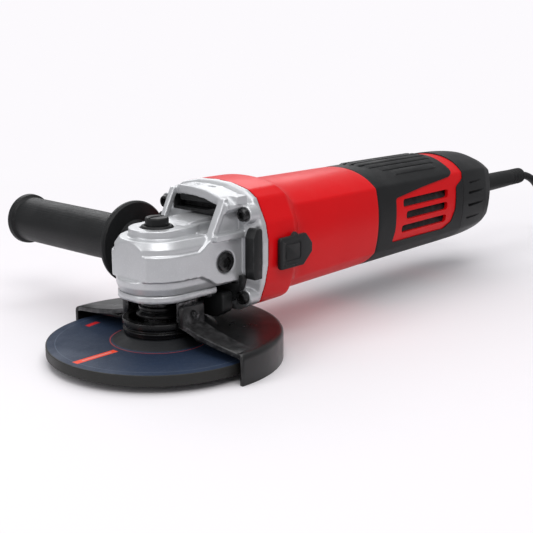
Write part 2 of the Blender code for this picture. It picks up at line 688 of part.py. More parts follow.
def make_motor_housing():
    stations = [(JOINT_X + TOUCH, JOINT_SECTION), (62.0, JOINT_SECTION), (75.0, FLARE_SECTION),
                (WAIST_X, WAIST_SECTION), (SLEEVE_X - TOUCH, GRIP_SECTION)]
    housing = body_tube("motor_housing", stations, 2.6, "red_housing")
    flat = box("slider_flat", (50, -60, 34.0), (92, -37.4, 55.0))
    track = box("slider_track", (SLIDER_FRONT - SWITCH_TRAVEL - 1, -60, 34.0), (92, -35.7, 55.0))
    slot = box("slider_slot", (61, -60, 41.0), (81, -25, 48.5))
    floor = box("slider_floor", (50, -38.4, 32.0), (94, -32.2, 57.0))
    bounds = [section(x, shape, 0.5) for x, shape in stations]
    keep_inside(floor, loft("floor_bounds", bounds, None, closed=False))
    join(housing, floor)
    cut(housing, flat, track, slot)


def make_slider():
    """The sliding on and off switch: an outer pad, and a rod inside that reaches back to the switch."""
    low, high = 35.5, 53.2
    outline = [(SLIDER_FRONT, low), (79.0, low), (86.0, 42.0), (86.0, 47.5), (81.0, high),
               (SLIDER_FRONT, high)]
    pad = prism("switch_slider", outline, -41.0, -36.1, "Y", "black_plastic")
    join(pad, box("slider_stem", (71.0, -37.0, 42.0), (79.0, -30.2, 47.5)))
    bar = box("slider_rod", (71.0, -29.9, 42.2), (150.0, -28.4, 47.3), "black_plastic")
    join(bar, box("rod_step", (146.0, -29.7, 42.4), (149.8, -24.6, 47.1)),
         box("rod_rear", (146.2, -26.4, 42.6), (192.0, -24.4, 46.9)),
         box("rod_hook", (188.0, -26.2, 42.8), (191.8, -12.0, 46.7)))
    box("switch_body", (196.0, -16.0, 36.0), (232.0, 14.0, 56.0), "black_plastic")


def vent_cutter(name, x, length, low, high, side):
    """A cutter for one vent slot in the side of the body."""
    return box(name, (x, side * 45 if side < 0 else 5, low), (x + length, -5 if side < 0 else 45, high))


def make_rear_housing():
    """The two halves of the rear housing, which carry the vents and the stripe."""
    under = tuple(value - 2.2 for value in GRIP_SECTION[:3]) + (2.5,)
    under_rear = tuple(value - 2.1 for value in TAIL_SECTION[:3]) + (2.5,)
    spigot = tuple(value - 3.2 for value in TAIL_SECTION[:3]) + (2.5,)
    start = SLEEVE_X + TOUCH
    for name, side in (("left", -1), ("right", 1)):
        outer = [section(start, under), section(STRIPE_X + TOUCH, under_rear),
                 section(STRIPE_X + TOUCH, TAIL_SECTION),
                 section(CAP_X - TOUCH, TAIL_SECTION), section(CAP_X - TOUCH, spigot), section(266, spigot)]
        inner = [section(266, spigot, 2.0), section(start, spigot, 2.0)]
        half = loft(f"rear_housing_{name}", outer + inner, "red_housing")
        low, high = sorted((side * 0.15, side * 60))
        keep_inside(half, box(f"half_bounds_{name}", (100, low, -20), (300, high, 120)))
        slots = [vent_cutter(f"vent_slot_{name}_{i}", 187.0, 52.0, z - 2.4, z + 2.4, side)
                 for i, z in enumerate((36.6, 45.4, 54.6))]
        cut(half, *slots)


def make_grip_sleeve():
    start = SLEEVE_X + TOUCH
    sleeve = body_tube("grip_sleeve", [(start, GRIP_SECTION), (STRIPE_X, (32.3, 32.3, 32.3, 2.5))], 1.8,
                       "black_rubber")
    window = [(176.0, 30.0), (174.0, 30.0), (177.0, 59.5), (181.0, 61.5), (260.0, 69.0), (260.0, 30.0)]
    cut(sleeve, prism("sleeve_window", window[1:], -60, 60, "Y"))


def make_tail_cap():
    def shape(radius):
        return (radius, radius, radius, 2.4)

    outer = [section(CAP_X, TAIL_SECTION), section(278, shape(31.7)), section(290, shape(30.4)),
             section(302, shape(27.0)), section(311, shape(21.0)), section(TAIL_X, shape(14.0)),
             circle(TAIL_X, 7.2)]
    lip = (29.4, 29.4, 29.4, 2.5)
    inner = [circle(TAIL_X - 3, 7.2), section(308, shape(18.0)), section(292, shape(26.6)), section(268, lip),
             section(CAP_X, lip)]
    loft("tail_cap", outer + inner, "black_plastic")


# The side handle


def make_side_handle():
    at = (HANDLE_X, 0, HANDLE_Z)
    grip = 14.2
    profile = [(4.2, 31.0), (8.4, 31.0), (8.4, 40.0), (11.5, 41.4), (13.5, 47.2), (24.0, 47.2), (24.7, 48.6),
               (24.0, 51.2), (14.6, 52.4), (13.3, 57.0), (grip, 84.0), (grip, 148.0), (16.2, 151.8),
               (16.2, 155.2), (13.0, HANDLE_END_Y), (0, HANDLE_END_Y)]
    bore = [(0, 64.0), (4.2, 64.0)]
    turned("side_handle_grip", (bore + profile)[::-1], "black_rubber", at, "Y", steps=24, ring=False)
    turned("side_handle_stud", [(0, 63.0), (3.9, 63.0), (3.9, 17.0), (3.3, 16.3), (0, 16.3)],
           "bright_steel", at, "Y", steps=12, ring=False)
    turned("handle_hole_plug",
           [(0, -16.6), (3.9, -16.6), (3.9, -26.6), (5.8, -26.6), (5.8, -28.3), (5.0, -29.0), (0, -29.0)],
           "black_steel", at, "Y", steps=12, ring=False)


# The cord


def smooth_route(points, spacing):
    """Points along a Catmull-Rom curve through the given ones, about evenly spaced."""
    knots = [Vector(point) for point in points]
    knots = [2 * knots[0] - knots[1]] + knots + [2 * knots[-1] - knots[-2]]
    fine = []
    for before, start, end, after in zip(knots, knots[1:], knots[2:], knots[3:]):
        for i in range(24):
            t = i / 24
            fine.append(0.5 * (2 * start + (end - before) * t
                               + (2 * before - 5 * start + 4 * end - after) * t ** 2
                               + (3 * start - before - 3 * end + after) * t ** 3))
    fine.append(knots[-2])
    route, travelled = [fine[0]], 0.0
    for first, second in zip(fine, fine[1:]):
        travelled += (second - first).length
        if travelled >= spacing:
            route.append(second)
            travelled = 0.0
    if (route[-1] - fine[-1]).length < spacing / 2:
        route.pop()
    return route + [fine[-1]]


def make_cord():
    turned("cord_boot",
           [(3.4, BOOT_END_X), (6.0, BOOT_END_X), (6.4, 366.0), (6.8, 345.0), (6.8, TAIL_X - 7.5),
            (9.5, TAIL_X - 7.5), (9.5, TAIL_X - 12), (3.4, TAIL_X - 12)],
           "black_rubber", (0, 0, MOTOR_Z), "X", steps=16)
    tube("power_cord", smooth_route(CORD_ROUTE, 12.0), CORD_RADIUS, "black_rubber")
    foot = GUARD_FOOT + 0.1
    inner, outer = COIL_MEAN_RADIUS - COIL_WIDTH / 2, COIL_MEAN_RADIUS + COIL_WIDTH / 2
    third = COIL_HEIGHT / 3
    ridge = 2.2
    top, under = [], []
    for i in range(3):
        low = inner + third * i
        top += [(low + ridge, foot + COIL_HEIGHT), (low + third - ridge, foot + COIL_HEIGHT)]
        under += [(low + ridge, foot), (low + third - ridge, foot)]
    side = [(outer, foot + COIL_HEIGHT - ridge), (outer, foot + ridge)]
    bore = [(inner, foot + ridge), (inner, foot + COIL_HEIGHT - ridge)]
    turned("cord_coil", top + side + under[::-1] + bore, "black_rubber", (*COIL_CENTRE, 0), steps=28)
    reach = COIL_WIDTH / 2 + 0.4
    band = box("cord_tie", (-reach - 1.4, -3, foot), (reach + 1.4, 3, foot + COIL_HEIGHT + 1.8),
               "black_plastic")
    hole = box("tie_hole", (-reach, -9, foot - 9), (reach, 9, foot + COIL_HEIGHT + 0.4))
    place = (COIL_CENTRE[0] + COIL_MEAN_RADIUS, COIL_CENTRE[1])
    for item in (band, hole):
        item.location.x += place[0] * MM
        item.location.y += place[1] * MM
    cut(band, hole)
    make_plug()


def make_plug():
    """A round two-pin mains plug, lying beside the coil with its cord end against it."""
    x = COIL_CENTRE[0]
    y = COIL_CENTRE[1] - COIL_MEAN_RADIUS - COIL_WIDTH / 2 - 0.6
    z = GUARD_FOOT + 0.1 + 14.0
    body = turned("mains_plug",
                  [(0, 0), (5.0, 0), (6.5, -16.0), (14.0, -30.0), (14.0, -38.0), (0, -38.0)],
                  "black_plastic", at=(x, y, z), axis="Y", steps=20, ring=False)
    pins = [rod(f"plug_pin_{i}", 2.0, (x + off, y - 57.0, z), 20.0, "Y", sides=8)
            for i, off in enumerate((-9.5, 9.5))]
    join(body, *pins)


def main():
    make_wheel()
    make_flanges()
    make_spindle()
    make_bevel_gears()
    make_bearings()
    screw_places = make_retainer()
    make_gear_case(screw_places)
    make_outlet_trim()
    make_screws()
    make_lock_button()
    make_guard()
    make_rotor()
    make_stator()
    make_motor_housing()
    make_slider()
    make_rear_housing()
    make_grip_sleeve()
    make_tail_cap()
    make_side_handle()
    make_cord()
    bpy.context.view_layer.update()


main()
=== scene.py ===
"""Angle grinder with a 125 mm wheel: the finished surfaces and detail of a corded machine.

Run it as a script in Blender 4.5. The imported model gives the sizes, the bodies and the joints.
Lengths inside the builders are millimetres in the machine's own frame: its origin is on the spindle's
axis at the height of the wheel's top face, +X runs back to the cord, +Y to the side handle, +Z up.
"""

import math

import bmesh
import bpy
from bpy.props import FloatProperty, FloatVectorProperty, IntProperty, PointerProperty
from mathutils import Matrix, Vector


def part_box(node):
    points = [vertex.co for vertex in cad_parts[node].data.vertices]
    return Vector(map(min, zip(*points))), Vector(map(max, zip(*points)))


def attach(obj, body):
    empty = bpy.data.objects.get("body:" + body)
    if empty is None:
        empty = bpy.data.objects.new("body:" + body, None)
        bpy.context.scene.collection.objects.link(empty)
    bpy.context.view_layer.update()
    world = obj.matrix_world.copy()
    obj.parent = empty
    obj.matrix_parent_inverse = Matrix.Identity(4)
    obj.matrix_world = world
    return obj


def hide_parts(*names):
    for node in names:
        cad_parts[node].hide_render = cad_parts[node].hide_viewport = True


bl_info = {
    "name": "Angle grinder",
    "version": (1, 0, 0),
    "blender": (4, 5, 0),
    "location": "3D View > Sidebar > Grinder",
    "description": "Builds a corded angle grinder, piece by piece, round its mechanical frame",
    "category": "Object",
}

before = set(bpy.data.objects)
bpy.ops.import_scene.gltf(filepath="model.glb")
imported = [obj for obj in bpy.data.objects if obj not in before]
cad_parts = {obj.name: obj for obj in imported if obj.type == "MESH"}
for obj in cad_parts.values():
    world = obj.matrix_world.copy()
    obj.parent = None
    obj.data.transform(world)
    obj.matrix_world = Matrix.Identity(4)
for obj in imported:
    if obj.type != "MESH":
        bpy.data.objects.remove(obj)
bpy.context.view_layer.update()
MM = 0.001


def middle(node):
    low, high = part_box(node)
    return (Vector(low) + Vector(high)) / 2


WHEEL_LOW, WHEEL_HIGH = (Vector(corner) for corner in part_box("grinding_wheel"))
WHEEL_THICKNESS = 6.0
ORIGIN = Vector((middle("grinding_wheel").x, middle("grinding_wheel").y, WHEEL_LOW.z + WHEEL_THICKNESS * MM))
MOTOR_Z = (middle("stator_core").z - ORIGIN.z) / MM
HANDLE_X = (middle("side_handle_stud").x - ORIGIN.x) / MM
HANDLE_Z = (middle("side_handle_stud").z - ORIGIN.z) / MM
FOOT_Z = -ORIGIN.z / MM

SIDES = (("near", -1), ("far", 1))

# Half sections of the body, as (half width, height), from the top round to the bottom
COLLAR = ((0, 83.8), (12, 83.2), (24.5, 80.4), (31, 76.4), (37.8, 63), (39.8, 53), (39.8, 41), (37.2, 28.5),
          (33, 17.4), (19, 10.4), (0, 10))
WAIST = ((0, 79.9), (12, 78.6), (23.5, 74.2), (30.8, 68.4), (33.4, 58.5), (34.8, 46.5), (33.8, 34.5),
         (31.2, 25), (24, 17.4), (11.5, 12.2), (0, 11.4))
GRIP = ((0, 78.8), (12, 77.6), (23, 73.4), (30.2, 67.8), (32.6, 58), (33.4, 46.5), (32.6, 35), (30.4, 26),
        (23.5, 18.6), (11, 13.6), (0, 12.8))
CAP = ((0, 77.6), (11.5, 76.4), (22.4, 72.4), (29.4, 66.8), (31.6, 57.6), (32.2, 46.2), (31.6, 35),
       (29.7, 26.4), (22.8, 19.3), (10.8, 14.6), (0, 13.8))

# The free cord: from the boot's mouth down to the surface, then nine turns in three layers
CORD_RADIUS = 3.0
CORD_ROUTE = ((390.3, 0, 45.6), (403, 0.1, 43.4), (416, 0.6, 37.6), (428, 1.6, 28), (438, 3.4, 16.4),
              (448.5, 6.4, 5), (462, 10.4, -5), (477, 13.8, -7))
COIL_CENTRE = (490.0, -30.0)
COIL_RADII = (39.0, 33.0, 27.0)
COIL_HEIGHTS = (-7.2, -1.2, 4.8)
TURN_STEPS = 48
STEP_OVER = 0.78  # share of a turn after which the cord moves over to the next one
PLUG_STEPS = 6  # steps left out at the end, where the plug is


# Sizes and colours


def colour_property(name, description, default):
    return FloatVectorProperty(name=name, description=description, subtype="COLOR", size=3, min=0.0, max=1.0,
                               default=default)


class GrinderSizes(bpy.types.PropertyGroup):
    """Sizes a user may want to change, in metres."""

    wheel_radius: FloatProperty(name="Wheel radius", description="Outside radius of the grinding wheel",
                                default=(WHEEL_HIGH.x - WHEEL_LOW.x) / 2, min=0.02, unit="LENGTH")
    housing_wall: FloatProperty(name="Housing wall", description="Thickness of the moulded housings",
                                default=0.0024, min=0.0005, unit="LENGTH")
    sleeve_wall: FloatProperty(name="Sleeve wall", description="Thickness of the rubber over the rear grip",
                               default=0.0016, min=0.0003, unit="LENGTH")
    guard_sheet: FloatProperty(name="Guard sheet", description="Thickness of the guard's steel sheet",
                               default=0.002, min=0.0005, unit="LENGTH")
    casting_detail: FloatProperty(name="Casting detail", description="Smallest detail kept on the gear case",
                                  default=0.0005, min=0.0003, unit="LENGTH")
    round_steps: IntProperty(name="Round steps", description="Faces round a turned piece", default=96, min=24)


class GrinderColours(bpy.types.PropertyGroup):
    """Base colours of the machine's finishes."""

    housing: colour_property("Housing", "Moulded housing and vent frame", (0.66, 0.003, 0.006))
    casting: colour_property("Casting", "Painted die-cast gear case", (0.56, 0.57, 0.585))
    plastic: colour_property("Plastic", "Black moulded plastic", (0.011, 0.0115, 0.012))
    rubber: colour_property("Rubber", "Black soft grip and cord", (0.010, 0.0105, 0.011))
    steel: colour_property("Black steel", "Blackened steel of the flanges and guard", (0.010, 0.010, 0.0105))
    wheel: colour_property("Wheel", "Printed face of the wheel", (0.015, 0.026, 0.052))
    label: colour_property("Label", "Ring and stripe printed on the wheel", (0.78, 0.055, 0.015))


# Meshes


def at(x, y, z):
    """A place in the machine's own frame as a point in the scene."""
    return ORIGIN + Vector((x, y, z)) * MM


def build(name, points, faces):
    """A new mesh object from points in the machine's own frame."""
    mesh = bpy.data.meshes.new(name)
    mesh.from_pydata([at(*point) for point in points], [], faces)
    form = bmesh.new()
    form.from_mesh(mesh)
    bmesh.ops.remove_doubles(form, verts=form.verts, dist=1e-7)
    bmesh.ops.delete(form, geom=[edge for edge in form.edges if not edge.link_faces], context="EDGES")
    bmesh.ops.recalc_face_normals(form, faces=form.faces)
    form.to_mesh(mesh)
    form.free()
    piece = bpy.data.objects.new(name, mesh)
    bpy.context.scene.collection.objects.link(piece)
    return piece


def loft(name, rings, loop=False, caps=True):
    """A skin through rings that each have the same number of points."""
    count = len(rings[0])
    faces = []
    pairs = list(range(len(rings))) if loop else list(range(len(rings) - 1))
    for k in pairs:
        start, after = k * count, (k + 1) % len(rings) * count
        for i in range(count):
            j = (i + 1) % count
            faces.append((start + i, start + j, after + j, after + i))
    if caps and not loop:
        faces.append(tuple(range(count)))
        faces.append(tuple(range((len(rings) - 1) * count, len(rings) * count)))
    return build(name, [point for ring in rings for point in ring], faces)


def rounded(corners, radius, steps=4):
    """A closed outline with its corners rounded. A corner may carry a radius of its own."""
    outline = []
    for i, corner in enumerate(corners):
        own = corner[2] if len(corner) > 2 else radius
        here, before = Vector(corner[:2]), Vector(corners[i - 1][:2])
        after = Vector(corners[(i + 1) % len(corners)][:2])
        back, on = before - here, after - here
        angle = back.angle(on, math.pi)
        if own <= 0 or angle > math.pi - 0.05:
            outline.append(tuple(here))
            continue
        reach = min(own / math.tan(angle / 2), 0.48 * back.length, 0.48 * on.length)
        start, end = here + back.normalized() * reach, here + on.normalized() * reach
        for k in range(steps + 1):
            t = k / steps
            outline.append(tuple(start * (1 - t) ** 2 + here * 2 * t * (1 - t) + end * t ** 2))
    return outline


def swing(radius, height, angle, axis, centre):
    """A point at a radius and height on a turned piece."""
    a, b = radius * math.cos(angle), radius * math.sin(angle)
    x, y, z = centre
    if axis == "X":
        return (x + height, y + a, z + b)
    if axis == "Y":
        return (x + a, y + height, z + b)
    return (x + a, y + b, z + height)


def turned(name, outline, centre=(0, 0, 0), axis="Z", steps=96, arc=(0.0, 360.0)):
    """A closed outline of (radius, height) swept round an axis."""
    span = arc[1] - arc[0]
    whole = span >= 360
    rings = []
    for i in range(steps if whole else steps + 1):
        angle = math.radians(arc[0] + span * i / steps)
        rings.append([swing(radius, height, angle, axis, centre) for radius, height in outline])
    return loft(name, rings, loop=whole)


def rod(name, radius, low, high, centre=(0, 0, 0), axis="Z", steps=48):
    """A plain cylinder, mostly to cut a bore with."""
    return turned(name, [(0, low), (radius, low), (radius, high), (0, high)], centre, axis, steps)


def prism(name, outline, low, high, axis="Z"):
    """A flat outline given thickness along an axis: (x, y) for Z, (x, z) for Y and (y, z) for X."""
    rings = []
    for level in (low, high):
        if axis == "X":
            rings.append([(level, a, b) for a, b in outline])
        elif axis == "Y":
            rings.append([(a, level, b) for a, b in outline])
        else:
            rings.append([(a, b, level) for a, b in outline])
    return loft(name, rings)


def box(name, low, high):
    return prism(name, [(low[0], low[1]), (high[0], low[1]), (high[0], high[1]), (low[0], high[1])],
                 low[2], high[2])


def side_span(side, inner, outer):
    """The lower and the higher y of a span at one side."""
    return sorted((side * inner, side * outer))


def settle(piece):
    """Turns a piece's modifiers into its mesh."""
    bpy.context.view_layer.update()
    graph = bpy.context.evaluated_depsgraph_get()
    mesh = bpy.data.meshes.new_from_object(piece.evaluated_get(graph))
    piece.modifiers.clear()
    piece.data = mesh
    return piece


def discard(*helpers):
    for helper in helpers:
        bpy.data.objects.remove(helper, do_unlink=True)


def merged(name, pieces):
    """Several meshes as one object."""
    form = bmesh.new()
    for piece in pieces:
        form.from_mesh(piece.data)
    mesh = bpy.data.meshes.new(name)
    form.to_mesh(mesh)
    form.free()
    discard(*pieces)
    whole = bpy.data.objects.new(name, mesh)
    bpy.context.scene.collection.objects.link(whole)
    return whole


def boolean(piece, operation, helpers, solver="EXACT"):
    for helper in helpers:
        modifier = piece.modifiers.new(operation, "BOOLEAN")
        modifier.operation = operation
        modifier.solver = solver
        modifier.object = helper
        settle(piece)
    discard(*helpers)
    return piece


def cut(piece, *helpers):
    return boolean(piece, "DIFFERENCE", helpers)


def keep_inside(piece, *helpers):
    return boolean(piece, "INTERSECT", helpers)


def soften(piece, width, segments=3, angle=35.0):
    """Rounds the sharp edges of a piece."""
    bevel = piece.modifiers.new("Edges", "BEVEL")
    bevel.width = width * MM
    bevel.segments = segments
    bevel.limit_method = "ANGLE"
    bevel.angle_limit = math.radians(angle)
    bevel.use_clamp_overlap = True
    bevel.harden_normals = True
    return piece


def shade(piece, angle=35.0):
    piece.data.shade_smooth()
    piece.data.set_sharp_from_angle(angle=math.radians(angle))
    return piece


def half_blend(first, second, t):
    return tuple((a[0] + (b[0] - a[0]) * t, a[1] + (b[1] - a[1]) * t) for a, b in zip(first, second))


def scaled(half, across, up):
    """A half section made narrower or lower about the motor's axis."""
    return tuple((y * across, MOTOR_Z + (z - MOTOR_Z) * up) for y, z in half)


def inset(half, amount):
    """A half section moved inwards by about an amount."""
    moved = []
    for y, z in half:
        away = Vector((y, z - MOTOR_Z))
        away *= (away.length - amount) / away.length
        moved.append((away.x, MOTOR_Z + away.y))
    return tuple(moved)


def whole_ring(x, half):
    """Both sides of a half section, as a ring of points at x, from the top round the near side."""
    near = [(x, -y, z) for y, z in half]
    far = [(x, y, z) for y, z in reversed(half[1:-1])]
    return near + far


def moulding(name, stations, creases=(), levels=2, wall=None, hard_rings=()):
    """A smooth housing through half sections at (x, half section), with sharper lines along it."""
    rings = [whole_ring(x, half) for x, half in stations]
    piece = loft(name, rings, caps=wall is None)
    count = len(rings[0])
    form = bmesh.new()
    form.from_mesh(piece.data)
    layer = form.edges.layers.float.new("crease_edge")
    places = {tuple(round(v, 6) for v in at(*point)): (k, i)
              for k, ring in enumerate(rings) for i, point in enumerate(ring)}
    for edge in form.edges:
        ends = [places.get(tuple(round(v, 6) for v in vert.co)) for vert in edge.verts]
        if None in ends:
            continue
        (k, i), (m, j) = ends
        if i == j:
            side = min(i, count - i)
            for index, value, last_x in creases:
                if side == index and min(rings[k][0][0], rings[m][0][0]) < last_x:
                    edge[layer] = value
        elif k == m and k in hard_rings:
            edge[layer] = 0.85
    form.to_mesh(piece.data)
    form.free()
    smooth = piece.modifiers.new("Surface", "SUBSURF")
    smooth.levels = smooth.render_levels = levels
    if wall:
        shell = piece.modifiers.new("Wall", "SOLIDIFY")
        shell.thickness = wall * MM
        shell.offset = -1.0
    return settle(piece)


def place(piece, body, slot, *nodes):
    """Gives a piece its body and hides the CAD nodes it stands for. Its record finish, slot, is not used."""
    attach(piece, body)
    if nodes:
        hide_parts(*nodes)
    return piece


def dress(piece, material, angle=35.0):
    """Smooth shading and one finish."""
    shade(piece, angle)
    piece.data.materials.clear()
    piece.data.materials.append(material)
    return piece


def complete(piece, finish, body, *nodes, slot=None, angle=35.0):
    """A piece's finish, its body and its CAD nodes. Its record finish, where that has another name, is passed
    on but not used.
    """
    return place(dress(piece, FINISHES[finish], angle), body, slot or finish, *nodes)


# Effects that several finishes share


def new_group(name, inputs, outputs):
    group = bpy.data.node_groups.new(name, "ShaderNodeTree")
    for label, default in inputs:
        kind = "NodeSocketVector" if default is None else "NodeSocketFloat"
        socket = group.interface.new_socket(label, in_out="INPUT", socket_type=kind)
        if default is not None:
            socket.default_value = default
    for label in outputs:
        group.interface.new_socket(label, in_out="OUTPUT", socket_type="NodeSocketFloat")
    return group, group.nodes.new("NodeGroupInput"), group.nodes.new("NodeGroupOutput")


def noise(tree, place_from, scale_from, detail=3.0, roughness=0.6):
    """A noise texture in a group, with its place and its scale linked."""
    node = tree.nodes.new("ShaderNodeTexNoise")
    node.inputs["Detail"].default_value = detail
    node.inputs["Roughness"].default_value = roughness
    tree.links.new(place_from, node.inputs["Vector"])
    tree.links.new(scale_from, node.inputs["Scale"])
    return node.outputs["Fac"]


def spread(tree, value, low, high, out_low=0.0, out_high=1.0):
    """Maps low..high to out_low..out_high."""
    node = tree.nodes.new("ShaderNodeMapRange")
    node.inputs["From Min"].default_value = low
    node.inputs["From Max"].default_value = high
    node.inputs["To Min"].default_value = out_low
    node.inputs["To Max"].default_value = out_high
    tree.links.new(value, node.inputs["Value"])
    return node.outputs["Result"]


def maths(tree, operation, first, second=None):
    node = tree.nodes.new("ShaderNodeMath")
    node.operation = operation
    for socket, value in zip(node.inputs, (first, second)):
        if value is None:
            continue
        if isinstance(value, (int, float)):
            socket.default_value = value
        else:
            tree.links.new(value, socket)
    return node.outputs[0]


def make_grain_group():
    """Fine surface texture: height for a bump and a slow change of tone."""
    group, come, leave = new_group("Moulded grain", (("Place", None), ("Grain scale", 2500.0),
                                                     ("Cloud scale", 40.0)), ("Height", "Cloud"))
    fine = noise(group, come.outputs["Place"], come.outputs["Grain scale"], 2.0)
    cloud = noise(group, come.outputs["Place"], come.outputs["Cloud scale"], 4.0)
    group.links.new(fine, leave.inputs["Height"])
    group.links.new(spread(group, cloud, 0.3, 0.7), leave.inputs["Cloud"])
    return group


def make_wear_group():
    """Rubbed edges: where the surface is convex, broken up by noise."""
    group, come, leave = new_group("Rubbed edges", (("Place", None), ("Break-up scale", 260.0)), ("Mask",))
    form = group.nodes.new("ShaderNodeNewGeometry")
    edge = spread(group, form.outputs["Pointiness"], 0.53, 0.62)
    patch = noise(group, come.outputs["Place"], come.outputs["Break-up scale"], 5.0, 0.7)
    broken = spread(group, patch, 0.42, 0.62)
    group.links.new(maths(group, "MULTIPLY", edge, broken), leave.inputs["Mask"])
    return group


def make_dust_group():
    """Dust that lies on surfaces that face up, in patches."""
    group, come, leave = new_group("Settled dust", (("Place", None), ("Patch scale", 60.0)), ("Mask",))
    form = group.nodes.new("ShaderNodeNewGeometry")
    parts = group.nodes.new("ShaderNodeSeparateXYZ")
    group.links.new(form.outputs["Normal"], parts.inputs["Vector"])
    upward = spread(group, parts.outputs["Z"], 0.2, 1.0)
    patch = noise(group, come.outputs["Place"], come.outputs["Patch scale"], 6.0, 0.65)
    thin = spread(group, patch, 0.45, 0.75)
    group.links.new(maths(group, "MULTIPLY", upward, thin), leave.inputs["Mask"])
    return group


def make_weave_group():
    """Crossed fine ridges, as moulded on a grip."""
    group, come, leave = new_group("Grip texture", (("Place", None), ("Pitch scale", 700.0)), ("Height",))
    cells = group.nodes.new("ShaderNodeTexVoronoi")
    cells.inputs["Randomness"].default_value = 0.25
    group.links.new(come.outputs["Place"], cells.inputs["Vector"])
    group.links.new(come.outputs["Pitch scale"], cells.inputs["Scale"])
    group.links.new(spread(group, cells.outputs["Distance"], 0.0, 0.6), leave.inputs["Height"])
    return group


# Finishes


class Finish:
    """One material in the making: its tree, its shader and the place that its textures read."""

    def __init__(self, name, colour, roughness, metallic=0.0, **plain):
        self.material = bpy.data.materials.new(name)
        self.material.use_nodes = True
        self.material.diffuse_color = (*colour, 1.0)
        self.tree = self.material.node_tree
        self.shader = self.tree.nodes["Principled BSDF"]
        self.colour = colour
        self.set("Base Color", (*colour, 1.0))
        self.set("Roughness", roughness)
        self.set("Metallic", metallic)
        for label, value in plain.items():
            self.set(label.replace("_", " "), value)
        self.place = self.tree.nodes.new("ShaderNodeTexCoord").outputs["Object"]
        self.tone = None

    def set(self, label, value):
        self.shader.inputs[label].default_value = value

    def effect(self, group, **values):
        node = self.tree.nodes.new("ShaderNodeGroup")
        node.node_tree = GROUPS[group]
        self.tree.links.new(self.place, node.inputs["Place"])
        for label, value in values.items():
            node.inputs[label.replace("_", " ")].default_value = value
        return node.outputs

    def blend_colour(self, mask, colour, share=1.0):
        """Lays a colour over what is there, by a mask."""
        mix = self.tree.nodes.new("ShaderNodeMix")
        mix.data_type = "RGBA"
        mix.inputs[7].default_value = (*colour, 1.0)
        if self.tone is None:
            mix.inputs[6].default_value = (*self.colour, 1.0)
        else:
            self.tree.links.new(self.tone, mix.inputs[6])
        self.tree.links.new(maths(self.tree, "MULTIPLY", mask, share), mix.inputs[0])
        self.tone = mix.outputs[2]
        self.tree.links.new(self.tone, self.shader.inputs["Base Color"])

    def vary(self, label, value, low, high):
        self.tree.links.new(spread(self.tree, value, 0.0, 1.0, low, high), self.shader.inputs[label])

    def bump(self, height, distance, strength=1.0):
        """A bump whose depth is in millimetres."""
        node = self.tree.nodes.new("ShaderNodeBump")
        node.inputs["Distance"].default_value = distance * MM
        node.inputs["Strength"].default_value = strength
        if self.shader.inputs["Normal"].is_linked:
            self.tree.links.new(self.shader.inputs["Normal"].links[0].from_socket, node.inputs["Normal"])
        self.tree.links.new(height, node.inputs["Height"])
        self.tree.links.new(node.outputs["Normal"], self.shader.inputs["Normal"])


def make_casting(colour):
    """Silver-painted die casting: fine sparkle, soft sheen, brighter rubbed edges."""
    finish = Finish("cast_silver", colour, 0.36, 0.55)
    grain = finish.effect("grain", Grain_scale=1900.0, Cloud_scale=55.0)
    finish.blend_colour(grain["Cloud"], tuple(0.86 * c for c in colour), 0.6)
    finish.blend_colour(spread(finish.tree, grain["Height"], 0.58, 0.75), (0.80, 0.81, 0.82), 0.45)
    wear = finish.effect("wear")
    finish.blend_colour(wear["Mask"], (0.86, 0.86, 0.87), 0.55)
    dust = finish.effect("dust")
    finish.blend_colour(dust["Mask"], (0.36, 0.36, 0.36), 0.10)
    finish.vary("Roughness", grain["Cloud"], 0.30, 0.42)
    finish.bump(grain["Height"], 0.035)
    return finish.material


def make_housing_red(colour):
    """Glossy moulded red plastic with a very fine orange peel."""
    finish = Finish("red_housing", colour, 0.34, Specular_IOR_Level=0.13, Coat_Weight=0.03,
                    Coat_Roughness=0.15)
    grain = finish.effect("grain", Grain_scale=900.0, Cloud_scale=28.0)
    finish.blend_colour(grain["Cloud"], tuple(0.88 * c for c in colour), 0.5)
    wear = finish.effect("wear")
    finish.blend_colour(wear["Mask"], (0.85, 0.06, 0.05), 0.10)
    dust = finish.effect("dust")
    finish.blend_colour(dust["Mask"], (0.62, 0.10, 0.09), 0.10)
    finish.vary("Roughness", grain["Cloud"], 0.30, 0.42)
    finish.bump(grain["Height"], 0.012)
    return finish.material


def make_black(name, colour, rough, scale, depth, worn, weave=None):
    """Black plastic or rubber: a moulded texture, greyer rubbed edges and a little dust."""
    finish = Finish(name, colour, rough[0], Specular_IOR_Level=0.20)
    grain = finish.effect("grain", Grain_scale=scale, Cloud_scale=45.0)
    finish.blend_colour(grain["Cloud"], tuple(1.5 * c for c in colour), 0.7)
    wear = finish.effect("wear")
    finish.blend_colour(wear["Mask"], (0.075, 0.075, 0.077), worn)
    dust = finish.effect("dust")
    finish.blend_colour(dust["Mask"], (0.14, 0.14, 0.14), 0.12)
    finish.vary("Roughness", grain["Cloud"], *rough)
    finish.bump(grain["Height"], depth)
    if weave:
        finish.bump(finish.effect("weave", Pitch_scale=weave)["Height"], 0.08)
    return finish.material


def make_metal(name, colour, rough, metallic=1.0, scale=1500.0, depth=0.006, worn=(0.6, 0.6, 0.61)):
    """Machined or blackened metal with a little variation and bright edges."""
    finish = Finish(name, colour, rough[0], metallic)
    grain = finish.effect("grain", Grain_scale=scale, Cloud_scale=80.0)
    finish.blend_colour(grain["Cloud"], tuple(0.75 * c for c in colour), 0.6)
    finish.blend_colour(finish.effect("wear")["Mask"], worn, 0.4)
    finish.vary("Roughness", grain["Cloud"], *rough)
    finish.bump(grain["Height"], depth)
    return finish.material


